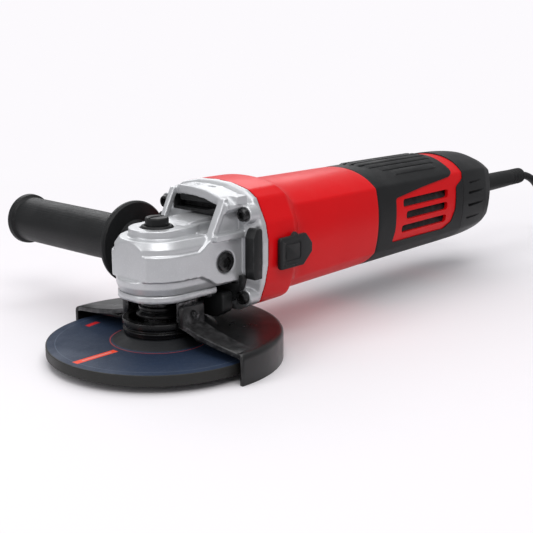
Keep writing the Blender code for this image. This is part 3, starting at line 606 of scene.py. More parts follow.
def band(tree, value, low, high, soft):
    """One between low and high, zero outside, with soft borders."""
    rise = spread(tree, value, low - soft, low + soft)
    fall = spread(tree, value, high - soft, high + soft, 1.0, 0.0)
    return maths(tree, "MULTIPLY", rise, fall)


# What is printed on the wheel, in millimetres from its middle
PRINTED_RING = (27.3, 27.6)
EDGE_LINE = (57.2, 57.5)
STRIPE_X, STRIPE_Y = (-58.4, -31.0), (-1.5, 2.8)
MARK_X, MARK_Y = (-53.5, -34.0), (0.2, 1.1)
PATCH_RADII, PATCH_X = (47.5, 51.0), (-13.5, -4.0)


def make_wheel_finish(colours, radius):
    """Abrasive wheel: gritty black rim, printed blue face, a thin ring, a stripe and a small patch."""
    finish = Finish("wheel_abrasive", tuple(colours.wheel), 0.55, Specular_IOR_Level=0.25)
    tree = finish.tree
    grain = finish.effect("grain", Grain_scale=1400.0, Cloud_scale=60.0)
    centred = tree.nodes.new("ShaderNodeVectorMath")
    centred.operation = "SUBTRACT"
    centred.inputs[1].default_value = ORIGIN
    tree.links.new(finish.place, centred.inputs[0])
    parts = tree.nodes.new("ShaderNodeSeparateXYZ")
    tree.links.new(centred.outputs["Vector"], parts.inputs["Vector"])
    x, y, z = (maths(tree, "MULTIPLY", parts.outputs[axis], 1000.0) for axis in ("X", "Y", "Z"))
    away = maths(tree, "SQRT", maths(tree, "ADD", maths(tree, "MULTIPLY", x, x),
                                     maths(tree, "MULTIPLY", y, y)))
    finish.blend_colour(spread(tree, away, 28.0, radius), tuple(1.35 * c for c in colours.wheel), 0.8)
    finish.blend_colour(grain["Cloud"], tuple(0.75 * c for c in colours.wheel), 0.5)
    finish.blend_colour(spread(tree, grain["Height"], 0.6, 0.8), (0.20, 0.23, 0.28), 0.25)
    finish.blend_colour(spread(tree, away, 26.4, 26.0), (0.012, 0.013, 0.015), 1.0)
    finish.blend_colour(band(tree, away, *PRINTED_RING, 0.2), tuple(colours.label), 0.7)
    finish.blend_colour(band(tree, away, *EDGE_LINE, 0.1), (0.12, 0.15, 0.20), 0.6)
    stripe = maths(tree, "MULTIPLY", band(tree, x, *STRIPE_X, 0.15), band(tree, y, *STRIPE_Y, 0.12))
    finish.blend_colour(stripe, tuple(colours.label), 0.95)
    mark = maths(tree, "MULTIPLY", band(tree, x, *MARK_X, 0.2), band(tree, y, *MARK_Y, 0.15))
    finish.blend_colour(mark, (0.42, 0.36, 0.36), 0.7)
    patch = maths(tree, "MULTIPLY", band(tree, away, *PATCH_RADII, 0.3), band(tree, x, *PATCH_X, 0.6))
    far = maths(tree, "MULTIPLY", patch, spread(tree, y, 20.0, 21.0))
    finish.blend_colour(far, (0.55, 0.01, 0.012), 0.9)
    rim = maths(tree, "MAXIMUM", spread(tree, away, radius - 0.9, radius - 0.5), spread(tree, z, -0.5, -0.9))
    finish.blend_colour(rim, (0.020, 0.020, 0.019), 1.0)
    finish.vary("Roughness", grain["Cloud"], 0.42, 0.60)
    finish.bump(grain["Height"], 0.06)
    return finish.material


GROUPS = {}
FINISHES = {}


def make_finishes(colours, sizes):
    GROUPS.update(grain=make_grain_group(), wear=make_wear_group(), dust=make_dust_group(),
                  weave=make_weave_group())
    plastic, rubber, steel = tuple(colours.plastic), tuple(colours.rubber), tuple(colours.steel)
    FINISHES.update(
        cast_silver=make_casting(tuple(colours.casting)),
        red_housing=make_housing_red(tuple(colours.housing)),
        black_plastic=make_black("black_plastic", plastic, (0.36, 0.48), 1500.0, 0.03, 0.35),
        black_rubber=make_black("black_rubber", rubber, (0.46, 0.58), 1900.0, 0.03, 0.25),
        grip_rubber=make_black("grip_rubber", rubber, (0.40, 0.50), 1900.0, 0.01, 0.25, weave=900.0),
        black_steel=make_metal("black_steel", steel, (0.22, 0.34), 0.55, worn=(0.32, 0.32, 0.33)),
        guard_paint=make_metal("guard_paint", steel, (0.26, 0.38), 0.25, 700.0, 0.01, (0.16, 0.16, 0.165)),
        bright_steel=make_metal("bright_steel", (0.55, 0.55, 0.56), (0.20, 0.34)),
        wheel_abrasive=make_wheel_finish(colours, sizes.wheel_radius / MM),
        copper_wire=make_metal("copper_wire", (0.55, 0.22, 0.08), (0.30, 0.42), 0.9, 900.0, 0.1,
                               (0.7, 0.34, 0.16)),
        carbon=make_black("carbon", (0.03, 0.03, 0.03), (0.5, 0.7), 1200.0, 0.04, 0.3),
        brass_metal=make_metal("brass_metal", (0.65, 0.45, 0.15), (0.25, 0.4), worn=(0.85, 0.66, 0.30)),
    )


def dress_inner_parts():
    """The frame's own solids that still show get the finish of their slot."""
    for name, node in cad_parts.items():
        for slot in node.material_slots:
            slot.material = FINISHES[INNER_FINISHES.get(name, "black_plastic")]


# Finishes of the inner parts that aren't black plastic
INNER_FINISHES = {
    "spindle": "bright_steel", "spindle_gear": "bright_steel", "pinion_gear": "bright_steel",
    "armature_shaft": "bright_steel", "armature_core": "bright_steel", "stator_core": "bright_steel",
    "commutator": "copper_wire", "field_winding_front": "copper_wire", "field_winding_rear": "copper_wire",
    "carbon_brush_left": "carbon", "carbon_brush_right": "carbon", "brush_holder_left": "brass_metal",
    "brush_holder_right": "brass_metal", "spindle_top_bush": "brass_metal", "lock_spring": "bright_steel",
    "side_handle_stud": "bright_steel", "guard_clamp_screw": "black_steel",
    "spindle_bearing_inner_ring": "bright_steel", "spindle_bearing_outer_ring": "bright_steel",
    "front_bearing_inner_ring": "bright_steel", "front_bearing_outer_ring": "bright_steel",
    "rear_bearing": "bright_steel", "guard_seat": "black_steel",
}


# The wheel, its flanges and the neck


def make_wheel(sizes):
    rim = sizes.wheel_radius / MM
    outline = rounded(((11.1, 4.4), (20, 4.4), (27, 0), (rim, 0, 0.5), (rim, -6, 0.7), (30, -6), (23, -1.6),
                       (11.1, -1.6)), 1.2)
    complete(turned("wheel_disc", outline, steps=160), "wheel_abrasive", "spindle_set", "grinding_wheel",
             angle=40)


def make_flanges(sizes):
    steps = sizes.round_steps
    inner = turned("wheel_flange", rounded(
        ((7.4, 9), (15.2, 9), (16.6, 13.3), (20.4, 13.3, 0.7), (20.4, 10.2, 0.5), (19.2, 9.3), (19.2, 8.5),
         (20.2, 7.9, 0.5), (20.2, 7.0, 0.4), (18.9, 6.4), (18.9, 4.8), (10.7, 4.8), (10.7, 0.1), (7.4, 0.1)),
         0.3),
        steps=steps)
    complete(inner, "black_steel", "spindle_set", "inner_flange")
    nut = turned("flange_nut", rounded(
        ((7.4, -1.8), (20, -1.8, 0.3), (20, -4.4, 0.5), (16.5, -7.9, 0.6), (7.4, -7.9, 0.4)), 0.3),
        steps=steps)
    holes = [rod(f"nut_hole_{i}", 2.4, -9, -3.5, (x, 0, 0), steps=24)
             for i, x in enumerate((-13.0, 13.0))]
    complete(cut(nut, *holes), "black_steel", "spindle_set", "outer_flange_nut")
    sleeve = turned("neck_collar", rounded(
        ((8.9, 25), (10.1, 25), (10.1, 20.4, 0.6), (11.4, 19.8, 0.4), (11.4, 18.2, 0.6), (10.2, 17.4, 1.0),
         (12.6, 15.6, 0.8), (12.6, 14.1, 0.3), (8.9, 14.1)), 0.3), steps=steps)
    complete(sleeve, "black_steel", "machine", "neck_sleeve")


# The gear case


def head_plan(radius, nose, half_width, rear, steps=40):
    """An arc round the spindle, cut flat at the nose, widening to the rear."""
    lean = math.asin(min(1.0, (half_width - radius) / rear)) if half_width > radius else 0.0
    first, last = math.pi / 2 + lean, 3 * math.pi / 2 - lean
    outline = []
    for i in range(steps + 1):
        angle = first + (last - first) * i / steps
        outline.append((max(nose, radius * math.cos(angle)), radius * math.sin(angle)))
    clean = [outline[0]]
    for point in outline[1:]:
        if (Vector(point) - Vector(clean[-1])).length > 0.05 or point[0] > nose + 0.01:
            clean.append(point)
    return [(rear, half_width)] + clean + [(rear, -half_width)]


# Screws that hold the case, as (y, z), and the lower plate, as (x, y)
SCREW_PLACES = ((-31.2, 68.5), (31.2, 68.5), (-30.5, 21.5), (30.5, 21.5))
PLATE_SCREWS = ((-12.2, -15.2), (-12.2, 15.2), (18.6, -19.2), (18.6, 19.2))
# Where the head's flat nose and its rear end are
NOSE_X = -20.9
HEAD_REAR = 38.0
# Bores inside the gear case, as (radius, from, to)
SPINDLE_BORES = ((16.3, 20, 36.3), (20.2, 36.2, 47.0), (9.3, 46.5, 55.3), (3.9, 54, 60), (6.7, 57, 68),
                 (9.3, 62.2, 68))
MOTOR_BORES = ((8.0, 5, 37), (13.3, 25.7, 45.7), (33.2, 39.6, 60))


def case_head_solids():
    """The head over the bevel gears: base, walls with a raised belt, shoulder and top."""
    belt = prism("head_belt", head_plan(24.8, -30, 28.5, HEAD_REAR), 30.0, 60.0)
    side = [(-40, 37.7), (8.4, 37.7), (13, 35.4), (18.8, 31.6), (39, 31.6), (39, 58.6), (17.1, 58.6),
            (12.0, 55.0), (7.3, 51.5), (-40, 51.5)]
    keep_inside(belt, prism("belt_bounds", side, -60, 60, "Y"))
    wall = ((23.0, 26.9, 36.0), (23.3, 27.0, 40.0), (23.3, 27.0, 54.8), (20.4, 25.0, 58.8))
    base = ((21.6, 24.6, 29.7), (22.9, 26.0, 33.6), (23.0, 26.6, 37.0))
    solids = [belt, stepped("head_wall", wall), stepped("head_base", base)]
    for solid in solids[:2]:
        cut(solid, box("nose_cut", (-60, -60, 0), (NOSE_X, 60, 100)))
    top = [(38, 11.7), (19.5, 12.4), (16.0, 14.4), (4.0, 15.4)]
    top += [(15.6 * math.cos(math.radians(a)), 15.6 * math.sin(math.radians(a))) for a in range(95, 266, 6)]
    top += [(4.0, -15.4), (16.0, -14.4), (19.5, -12.4), (38, -11.7)]
    solids.append(prism("head_top", top, 58.0, 63.3))
    hood = [(9.5, 62), (9.5, 63.2), (16, 64.6), (24, 65.3), (38, 65.3), (38, 62)]
    solids.append(prism("head_hood", hood, -10.2, 10.2, "Y"))
    shelf = [(15.5, 56), (38, 56), (38, 59.4), (15.5, 59.4)]
    solids.append(prism("head_shelf", shelf, -30.6, 30.6, "Y"))
    return solids


def stepped(name, levels, nose=-30.0):
    """A head-shaped block whose plan changes with height, through (radius, half width, height)."""
    return loft(name, [[(x, y, z) for x, y in head_plan(radius, nose, half_width, HEAD_REAR)]
                       for radius, half_width, z in levels])


def case_rear_solids():
    """The rim that meets the housing, the bridge over the air outlet and its two posts."""
    def ring(x, amount):
        edge = [(y, z) for _, y, z in whole_ring(x, COLLAR)]
        outline = rounded(edge, 3.0, 4)
        share = 1 - amount / 36.0
        return [(x, y * share, MOTOR_Z + (z - MOTOR_Z) * share) for y, z in outline]

    solids = [loft("case_rim", [ring(36.8, 6.6), ring(37.8, 5.6), ring(42.6, 0.5), ring(43.4, 0.1),
                                ring(46.3, 0.0)])]
    arch = loft("case_arch", [ring(22.0, 2.6), ring(39.5, 1.4)])
    cut(arch, loft("arch_space", [ring(10.0, 6.0), ring(45.0, 5.2)]))
    roof = [(24.6, -30.2), (24.8, -20), (25.4, -8), (26.6, 4), (28.6, 12), (31.5, 18.5), (34.5, 23), (40, 25),
            (40, -30.2)]
    keep_inside(arch, prism("arch_bounds", roof, 70, 100))
    solids.append(arch)
    lip = [(24.6, -29.4), (24.9, -20), (25.5, -8), (26.7, 4), (28.7, 12), (31.0, 17.0), (33.4, 17.0),
           (30.2, 9.0), (28.4, 2), (27.2, -9), (26.6, -20), (26.4, -29.4)]
    edge = prism("arch_lip", lip, 70, 100)
    keep_inside(edge, loft("lip_bounds", [ring(20.0, 2.0), ring(45.0, 1.0)]))
    cut(edge, loft("lip_space", [ring(10.0, 6.8), ring(45.0, 6.0)]))
    solids.append(edge)
    web = [(16.4, 58), (25.6, 75.0), (39, 76.4), (39, 58)]
    solids.append(prism("post_web", web, -25.9, -22.6, "Y"))
    near = [(14.8, 58), (23.8, 74.6), (25.0, 78.0), (28.0, 78.0), (27.0, 74.2), (18.4, 58)]
    solids.append(prism("post_near", near, -26.9, -21.8, "Y"))
    far = [(16.6, 58), (25.0, 74.6), (27.6, 79.6), (32.0, 79.6), (28.6, 74.4), (20.2, 58)]
    solids.append(prism("post_far", far, 15.6, 19.2, "Y"))
    solids.append(prism("post_step", [(31.0, 79.0), (39, 79.0), (39, 74.6), (31.0, 74.6)], -30.4, -24.0, "Y"))
    for i, (y, z) in enumerate(SCREW_PLACES):
        solids.append(rod(f"screw_boss_{i}", 5.0, 35.9, 44, (0, y, z), "X", 32))
    return solids


def case_openings():
    """The air outlet, pockets for the side strips, screw recesses and the bores for what turns inside."""
    outlet = prism("air_outlet", rounded(((-21.4, 66.0), (21.4, 66.0), (21.4, 75.5), (15, 78.6), (-15, 78.6),
                                          (-21.4, 75.5)), 1.5), 35, 44, "X")
    cutters = [outlet]
    for name, side in SIDES:
        low, high = side_span(side, 35.2, 50)
        cutters.append(box(f"strip_pocket_{name}", (30, low, 32.2), (42.2, high, 61.6)))
    for i, (y, z) in enumerate(SCREW_PLACES):
        cutters.append(rod(f"head_seat_{i}", 4.1, 20, 36.6, (0, y, z), "X", 32))
    for i, (x, low, high) in enumerate(((33.2, -27.6, -23.6), (35.4, -9.4, -4.6), (35.4, 2.4, 7.0))):
        cutters.append(box(f"roof_slot_{i}", (x - 0.9, low, 79.2), (x + 0.9, high, 90)))
    cutters += [rod(f"bore_{i}", *bore) for i, bore in enumerate(SPINDLE_BORES)]
    cutters += [rod(f"motor_bore_{i}", *bore, (0, 0, MOTOR_Z), "X") for i, bore in enumerate(MOTOR_BORES)]
    for name, side in SIDES:
        outline = [(0, 15.5), (4.3, 15.5), (4.3, 26.3), (6.3, 26.3), (6.3, 27.6), (7.2, 30), (0, 30)]
        outline = [(r, side * h) for r, h in outline]
        cutters.append(turned(f"handle_hole_{name}", outline, (HANDLE_X, 0, HANDLE_Z), "Y", 48))
    return cutters


def make_gear_case(sizes):
    case, *others = case_head_solids() + case_rear_solids()
    case.name = "gear_housing"
    boolean(case, "UNION", others, "MANIFOLD")
    boolean(case, "DIFFERENCE", case_openings(), "MANIFOLD")
    voxels = case.modifiers.new("Casting", "REMESH")
    voxels.mode = "VOXEL"
    voxels.voxel_size = sizes.casting_detail
    flow = case.modifiers.new("Soft edges", "SMOOTH")
    flow.factor = 0.5
    flow.iterations = 5
    settle(case)
    case.data.materials.clear()
    case.data.materials.append(FINISHES["cast_silver"])
    case.data.shade_smooth()
    place(case, "machine", "cast_silver", "gear_case")


def make_bearing_plate():
    levels = ((25.3, 0.965), (25.6, 0.985), (26.1, 1.0), (28.7, 1.0), (29.2, 0.985), (29.4, 0.97))
    plan = head_plan(22.2, -21.2, 22.6, 22.4)
    plate = loft("bearing_plate", [[(x * share, y * share, z) for x, y in plan] for z, share in levels])
    bores = [rod("plate_bore", 10.4, 20, 40), rod("plate_seat", 16.3, 27.7, 40, steps=64)]
    bores += [rod(f"plate_hole_{i}", 1.9, 20, 40, (x, y, 0), steps=24)
              for i, (x, y) in enumerate(PLATE_SCREWS)]
    complete(cut(plate, *bores), "cast_silver", "machine", "bearing_retainer", angle=50)


def socket_screw(name, head, shank, length, height, body, centre, axis, flip=1, lobes=6):
    """A round-headed screw with a lobed socket, its head towards the start of the axis."""
    count = 48

    def ring(radius, level, wave=0.0):
        return [swing(radius * (1 + wave * math.cos(lobes * 2 * math.pi * i / count)), flip * level,
                      2 * math.pi * i / count, axis, centre) for i in range(count)]

    drive = head * 0.5
    rings = [ring(0.05, 1.4), ring(drive * 0.9, 1.3, 0.14), ring(drive, 0.15, 0.14), ring(head * 0.68, 0),
             ring(head * 0.92, 0.35), ring(head, 1.1), ring(head, height - 0.2), ring(head - 0.2, height),
             ring(shank, height), ring(shank, length)]
    return complete(loft(name, rings), "black_steel", body, angle=40)


def make_screws():
    for i, (y, z) in enumerate(SCREW_PLACES):
        screw = socket_screw(f"case_screw_{i + 1}", 3.6, 1.7, 12.9, 3.3, "machine", (33.1, y, z), "X")
        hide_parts(f"housing_screw_{i + 1}")
    for i, (x, y) in enumerate(PLATE_SCREWS):
        screw = socket_screw(f"plate_screw_{i + 1}", 2.9, 1.6, 11.5, 1.8, "machine", (x, y, 23.5), "Z")
        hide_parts(f"retainer_screw_{i + 1}")
    plug = socket_screw("handle_plug", 5.7, 3.9, 12.4, 2.2, "machine", (HANDLE_X, -28.8, HANDLE_Z), "Y",
                        lobes=5)
    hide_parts("handle_hole_plug")


def make_trim():
    """Black plastic round the foot of the rim, the air baffle and the strips at the sides."""
    plate = loft("case_trim", [whole_ring(x, scaled(COLLAR, share, share))
                               for x, share in ((33.6, 0.83), (34.2, 0.85), (36.5, 0.86))])
    spaces = [box("trim_head_space", (30, -28.9, 29.0), (40, 28.9, 100)),
              box("trim_upper_space", (30, -60, 60.6), (40, 60, 100)),
              box("trim_near_space", (30, -60, 34.5), (40, -28.8, 61)),
              box("trim_far_space", (30, 28.8, 34.5), (40, 60, 61))]
    for i, (y, z) in enumerate(SCREW_PLACES):
        spaces.append(rod(f"trim_hole_{i}", 4.4, 20, 50, (0, y, z), "X", 40))
    cut(plate, *spaces)
    parts = [settle(soften(plate, 0.5))]
    belly = [(-17, 9.6), (17, 9.6), (24, 14), (24, 24.6), (-24, 24.6), (-24, 14)]
    parts.append(settle(soften(prism("trim_belly", rounded(belly, 3), 26.0, 34.0, "X"), 1.2)))
    for name, side in SIDES:
        low, high = side_span(side, 32.6, 39.3)
        face = rounded(((35.4, 32.8, 1.0), (41.8, 32.8, 0.6), (41.8, 61.2, 2.0), (37.0, 61.2, 2.2),
                        (34.6, 56.5, 1.5), (34.6, 37.0, 1.0)), 1)
        strip = prism(f"trim_strip_{name}", face, low, high, "Y")
        parts.append(settle(soften(strip, 1.1, 3, 40)))
    complete(merged("outlet_trim_moulding", parts), "black_plastic", "machine", "outlet_trim", angle=40)
    baffle = []
    curve = [(-20.9, 66.4), (20.9, 66.4), (20.9, 68.0), (-6, 68.8), (-20.9, 72.4)]
    baffle.append(prism("baffle_sill", curve, 31.6, 39.2, "X"))
    hood = rounded(((-20.5, 73.6), (12.5, 72.6), (14.5, 77.6), (8, 78.6), (-15, 77.4)), 1.5)
    baffle.append(prism("baffle_hood", hood, 29.6, 39.0, "X"))
    back = [(-20.9, 66.4), (20.9, 66.4), (20.9, 75.6), (-20.9, 75.6)]
    baffle.append(prism("baffle_back", back, 38.6, 39.4, "X"))
    for y in (-20.9, 19.5):
        baffle.append(box("baffle_jamb", (31.2, y, 66.6), (38.8, y + 1.4, 75.6)))
    complete(settle(soften(merged("air_baffle", baffle), 0.35)), "black_plastic", "machine", angle=40)


def make_button(sizes):
    outline = rounded(((0, 68.6), (5.8, 68.6, 0.5), (6.45, 67.9, 0.5), (6.45, 63.6), (5.6, 63.0), (5.6, 61.3),
                       (0, 61.3)), 0.3)
    cap = turned("button_cap", outline, steps=sizes.round_steps)
    cut(cap, box("button_notch", (-6.6, -0.7, 68.0), (6.6, 0.7, 69)))
    pin = settle(soften(box("button_pin", (-2.5, -2.5, 55.5), (2.5, 2.5, 61.6)), 0.4))
    complete(merged("lock_button_cap", [cap, pin]), "black_plastic", "lock", "lock_button", angle=40)
    section = rounded(((6.9, 64.2, 0.4), (8.2, 64.2, 0.5), (9.1, 63.2, 0.3), (9.1, 62.3), (6.9, 62.3)), 0.2)
    ring = turned("button_seal", section, steps=sizes.round_steps)
    complete(ring, "black_rubber", "machine", "button_ring")


# The guard


GUARD_REACH = 94.4  # degrees covered at each side of straight back
# The strips along the guard's cut edges, as (radius, front, rear, height)
GUARD_STRIP = ((21.5, -5.4, 9.6, 14.3), (34, -5.2, 9.0, 10.9), (50, -5.2, 7.6, 8.3), (63.5, -5.2, 6.2, 7.05),
               (66.6, -5.0, 5.6, 6.3))


def make_guard(sizes):
    sheet = sizes.guard_sheet / MM
    rim, foot, top = 68.8, FOOT_Z, 6.6
    outer = ((24.6, 22.6), (24.6, 11.3, 1.0), (32.0, 7.6, 2.0), (rim, top, 3.6), (rim, foot))
    inner = ((rim - sheet, foot), (rim - sheet, top - sheet, 2.2), (31.6, 5.4, 2.0), (22.7, 9.9, 1.0),
             (22.7, 22.6))
    shell = turned("guard_shell", rounded(outer + inner, 0.3), steps=120, arc=(-GUARD_REACH, GUARD_REACH))
    parts = [settle(soften(shell, 0.35, 2, 50))]
    for name, side in SIDES:
        rings = []
        for radius, front, rear, high in GUARD_STRIP:
            y = side * radius
            rings.append([(front, y, high - 2.6), (front, y, high - 0.5), (front + 0.6, y, high),
                          (rear, y, high - 0.2), (rear + 1.8, y, high - 2.4)])
        parts.append(loft(f"guard_edge_{name}", rings))
        low, high = side_span(side, 20.9, 24.9)
        face = rounded(((-5.4, 11.2), (10.8, 11.2), (10.8, 21.6, 1.0), (9.6, 23.0, 1.0), (-4.6, 23.0, 0.8),
                        (-5.4, 22)), 0.5)
        lug = prism(f"guard_lug_{name}", face, low, high, "Y")
        parts.append(settle(soften(lug, 0.5, 3, 40)))
    complete(merged("guard_cover", parts), "guard_paint", "guard", "wheel_guard", slot="black_steel",
             angle=40)


# The body


def make_motor_housing(sizes):
    stations = [(46.7, COLLAR), (47.3, COLLAR), (58, COLLAR), (68.6, scaled(COLLAR, 0.995, 0.995)),
                (71.0, scaled(COLLAR, 0.985, 0.985)), (76.6, half_blend(COLLAR, WAIST, 0.82)), (79.5, WAIST),
                (96, half_blend(WAIST, GRIP, 0.25)), (128, half_blend(WAIST, GRIP, 0.7)), (155.4, GRIP),
                (156.7, inset(GRIP, 0.25))]
    creases = ((3, 0.80, 160), (4, 0.75, 78), (5, 0.35, 78), (7, 0.55, 160), (8, 0.35, 78), (2, 0.45, 78))
    housing = moulding("motor_shell", stations, creases, 3, sizes.housing_wall / MM, hard_rings=(3, 5))
    cut(housing, box("slider_slot", (61.5, -60, 41.2), (77.0, -25, 48.3)))
    complete(housing, "red_housing", "machine", "motor_housing", angle=32)


def make_slider():
    face = rounded(((52.8, 35.8, 2.0), (72.6, 35.8, 1.5), (80.2, 42.5, 1.8), (80.2, 47.9, 1.8),
                    (74.8, 54.1, 1.5), (52.8, 54.1, 2.0)), 1)
    pad = settle(soften(prism("slider_pad", face, -43.0, -40.1, "Y"), 0.9, 4, 40))
    panel = rounded(((56.4, 40.1), (70.0, 40.1), (70.0, 50.7), (56.4, 50.7)), 2.0)
    cut(pad, prism("slider_dish", panel, -45, -42.7, "Y"))
    core = rounded(((57.3, 41.0), (69.1, 41.0), (69.1, 49.8), (57.3, 49.8)), 1.6)
    boss = settle(soften(prism("slider_boss", core, -43.0, -42.2, "Y"), 0.35, 3, 40))
    tip = [(63.0, 53.5), (68.0, 53.5), (67.2, 55.1), (65.8, 56.1), (64.2, 55.1)]
    tab = prism("slider_tab", tip, -42.6, -40.6, "Y")
    rib = settle(soften(box("slider_rib", (56.4, -43.4, 37.5), (66.4, -42.7, 38.2)), 0.3))
    stem = box("slider_stem", (68.4, -40.8, 42.2), (76.2, -30.2, 47.3))
    slider = merged("power_slider", [pad, boss, tab, rib, stem])
    complete(slider, "black_plastic", "switch", "switch_slider", angle=40)


# The window in the grip sleeve, as (x, z), with a radius where a corner has its own
WINDOW = ((176.2, 59.0, 2.2), (207.2, 62.6), (240.0, 65.4, 6.0), (246.0, 68.6, 3.0), (246.2, 74.0, 4.0),
          (249.6, 80.6), (252.7, 95.0), (262.2, 95.0), (260.6, 78.0), (259.4, 72.5, 4.0), (256.0, 61.5, 4.0),
          (248.0, 57.6, 3.0), (247.4, 42.0, 3.0), (243.0, 33.6, 3.0), (234.0, 30.0, 2.0), (206.0, 30.2),
          (173.6, 30.2, 2.0), (175.6, 38.0), (175.8, 44.0))


def sleeve_openings(name):
    """What shows the red housing: a window at each side, joined by a band over the top and one below."""
    window = prism(f"{name}_window", rounded(WINDOW, 1.0, 5), -60, 60, "Y")
    below = rounded(((248.4, 17.5, 1.5), (259.0, 19.5, 1.5), (258.0, 0), (248.0, 0)), 1)
    low_band = prism(f"{name}_band", below, -60, 60, "Y")
    return window, low_band


def make_rear_housing(sizes):
    wall = sizes.housing_wall / MM
    under = [inset(GRIP, 0.75), inset(half_blend(GRIP, CAP, 0.7), 0.75), inset(CAP, 0.7)]
    stations = [(157.4, under[0]), (159, under[0]), (210, under[1]), (257.6, under[2]),
                (262.6, inset(CAP, 1.2))]
    shell = moulding("rear_shell", stations, ((3, 0.8, 300), (7, 0.55, 300)), 3, wall)
    slots = []
    for i, (start, end, low, high) in enumerate(((185.0, 238.0, 51.6, 57.2), (188.6, 237.4, 43.4, 48.8),
                                                 (184.0, 236.8, 35.0, 40.0))):
        face = rounded(((start, low), (end, low), (end, high), (start, high)), 2.3, 6)
        slots.append(prism(f"vent_slot_{i}", face, -60, 60, "Y"))
    complete(cut(shell, *slots), "red_housing", "machine", "rear_housing_left", "rear_housing_right",
             angle=32)
    louvres = []
    for _, side in SIDES:
        for z in (37.4, 46.0, 54.3):
            rings = []
            for x in (182.0, 241.0):
                rings.append([(x, side * 29.4, z - 3.9), (x, side * 28.2, z - 4.3), (x, side * 24.5, z + 3.4),
                              (x, side * 25.6, z + 4.3)])
            louvres.append(loft("vent_louvre", rings))
        # A black sheet behind the vent slots is painted shade: it stands in for the dark inside of the
        # housing.
        low, high = side_span(side, 23.0, 24.2)
        louvres.append(box("vent_shade_sheet", (180, low, 31.0), (244, high, 61.0)))
    # The louvres and the sheet of painted shade behind them, as one object.
    complete(merged("vent_louvres_and_shade_sheet", louvres), "black_plastic", "machine", angle=30)


def make_grip_sleeve(sizes):
    stations = [(157.3, inset(GRIP, 0.5)), (158.2, GRIP), (165, GRIP), (205, half_blend(GRIP, CAP, 0.5)),
                (250, CAP), (256.2, CAP), (256.4, inset(CAP, 0.2))]
    sleeve = moulding("grip_shell", stations, ((3, 0.8, 300), (7, 0.55, 300)), 3, sizes.sleeve_wall / MM)
    cut(sleeve, *sleeve_openings("sleeve"))
    ribs = [sleeve]
    for k, (y, start, end) in enumerate(((-21.5, 186, 234), (-16.0, 178, 239), (-10.5, 171, 242),
                                         (-5.0, 167, 244), (0.5, 166, 244), (6.0, 166, 243))):
        height = 78.2 - 0.0108 * y * y
        rings = []
        for x, rise in ((start, -0.5), (start + 2.5, 0.75), ((start + end) / 2, 0.8), (end - 2.5, 0.75),
                        (end, -0.5)):
            t = (x - 158) / 98
            base = height + 0.55 - 1.15 * t
            lean = -0.025 * y
            section = ((2.2, -1.6), (2.0, rise * 0.55), (1.4, rise))
            rings.append([(x, y - off, base + up - off * lean) for off, up in section]
                         + [(x, y + off, base + up + off * lean) for off, up in reversed(section)])
        ribs.append(loft(f"grip_rib_{k}", rings))
    complete(merged("grip_cover", ribs), "black_rubber", "machine", "grip_sleeve", angle=32)


GROOVE_FLOOR = 29.6  # distance of the grooves' floors from the middle
CAP_GROOVES = ((58.4, 264, 287), (51.4, 263, 289), (42.6, 263, 289), (33.4, 262, 287))


def make_tail_cap():
    stations = [(256.7, inset(CAP, 0.3)), (257.3, CAP), (278, scaled(CAP, 0.98, 0.98)),
                (290, scaled(CAP, 0.93, 0.93)), (301.5, scaled(CAP, 0.81, 0.81)),
                (303, scaled(CAP, 0.79, 0.79)), (311, scaled(CAP, 0.63, 0.63)),
                (312, scaled(CAP, 0.60, 0.60)), (317.3, scaled(CAP, 0.44, 0.44)),
                (318, scaled(CAP, 0.41, 0.41)), (318, scaled(CAP, 0.225, 0.225))]
    cap = moulding("cap_shell", stations, ((3, 0.8, 340), (7, 0.6, 340), (5, 0.4, 340)), 3, 3.4,
                   hard_rings=(3, 4, 6))
    grooves = list(sleeve_openings("cap"))
    for _, side in SIDES:
        for z, start, end in CAP_GROOVES:
            rings = []
            for x, depth in ((start, 32.6), (start + 2, GROOVE_FLOOR), (end - 8, GROOVE_FLOOR),
                             (end, GROOVE_FLOOR + 1)):
                rings.append([(x, side * depth, z - 0.3), (x, side * 36, z - 3.6), (x, side * 36, z + 1.0),
                              (x, side * depth, z + 0.8)])
            grooves.append(loft("cap_groove", rings))
    complete(cut(cap, *grooves), "black_plastic", "machine", "tail_cap", angle=32)


# The side handle


def make_handle():
    centre = (HANDLE_X, 0, HANDLE_Z)
    outline = rounded(((0, 64), (4.2, 64), (4.2, 31.2), (8.4, 31.2, 0.5), (8.4, 35.4, 0.4), (9.4, 36.2, 0.3),
                       (9.4, 39.6, 0.6), (11.4, 41.6, 1.0), (13.4, 47.2, 0.6), (23.6, 47.0, 0.5),
                       (24.7, 48.4, 0.8), (24.5, 50.4, 0.8), (23.4, 51.2, 0.5), (15.4, 52.2, 1.2),
                       (13.4, 57.5, 3.0), (14.1, 76, 6.0), (14.2, 84), (14.2, 150.2, 0.8), (15.9, 151.4, 0.6),
                       (16.2, 154.8, 1.4), (13.6, 156.9, 1.0), (9.5, 156.2, 0.8), (0, 156.2)), 0.4, 5)
    complete(turned("handle_grip", outline, centre, "Y", 128), "grip_rubber", "handle", "side_handle_grip",
             slot="black_rubber", angle=30)


# The cord and what is on it


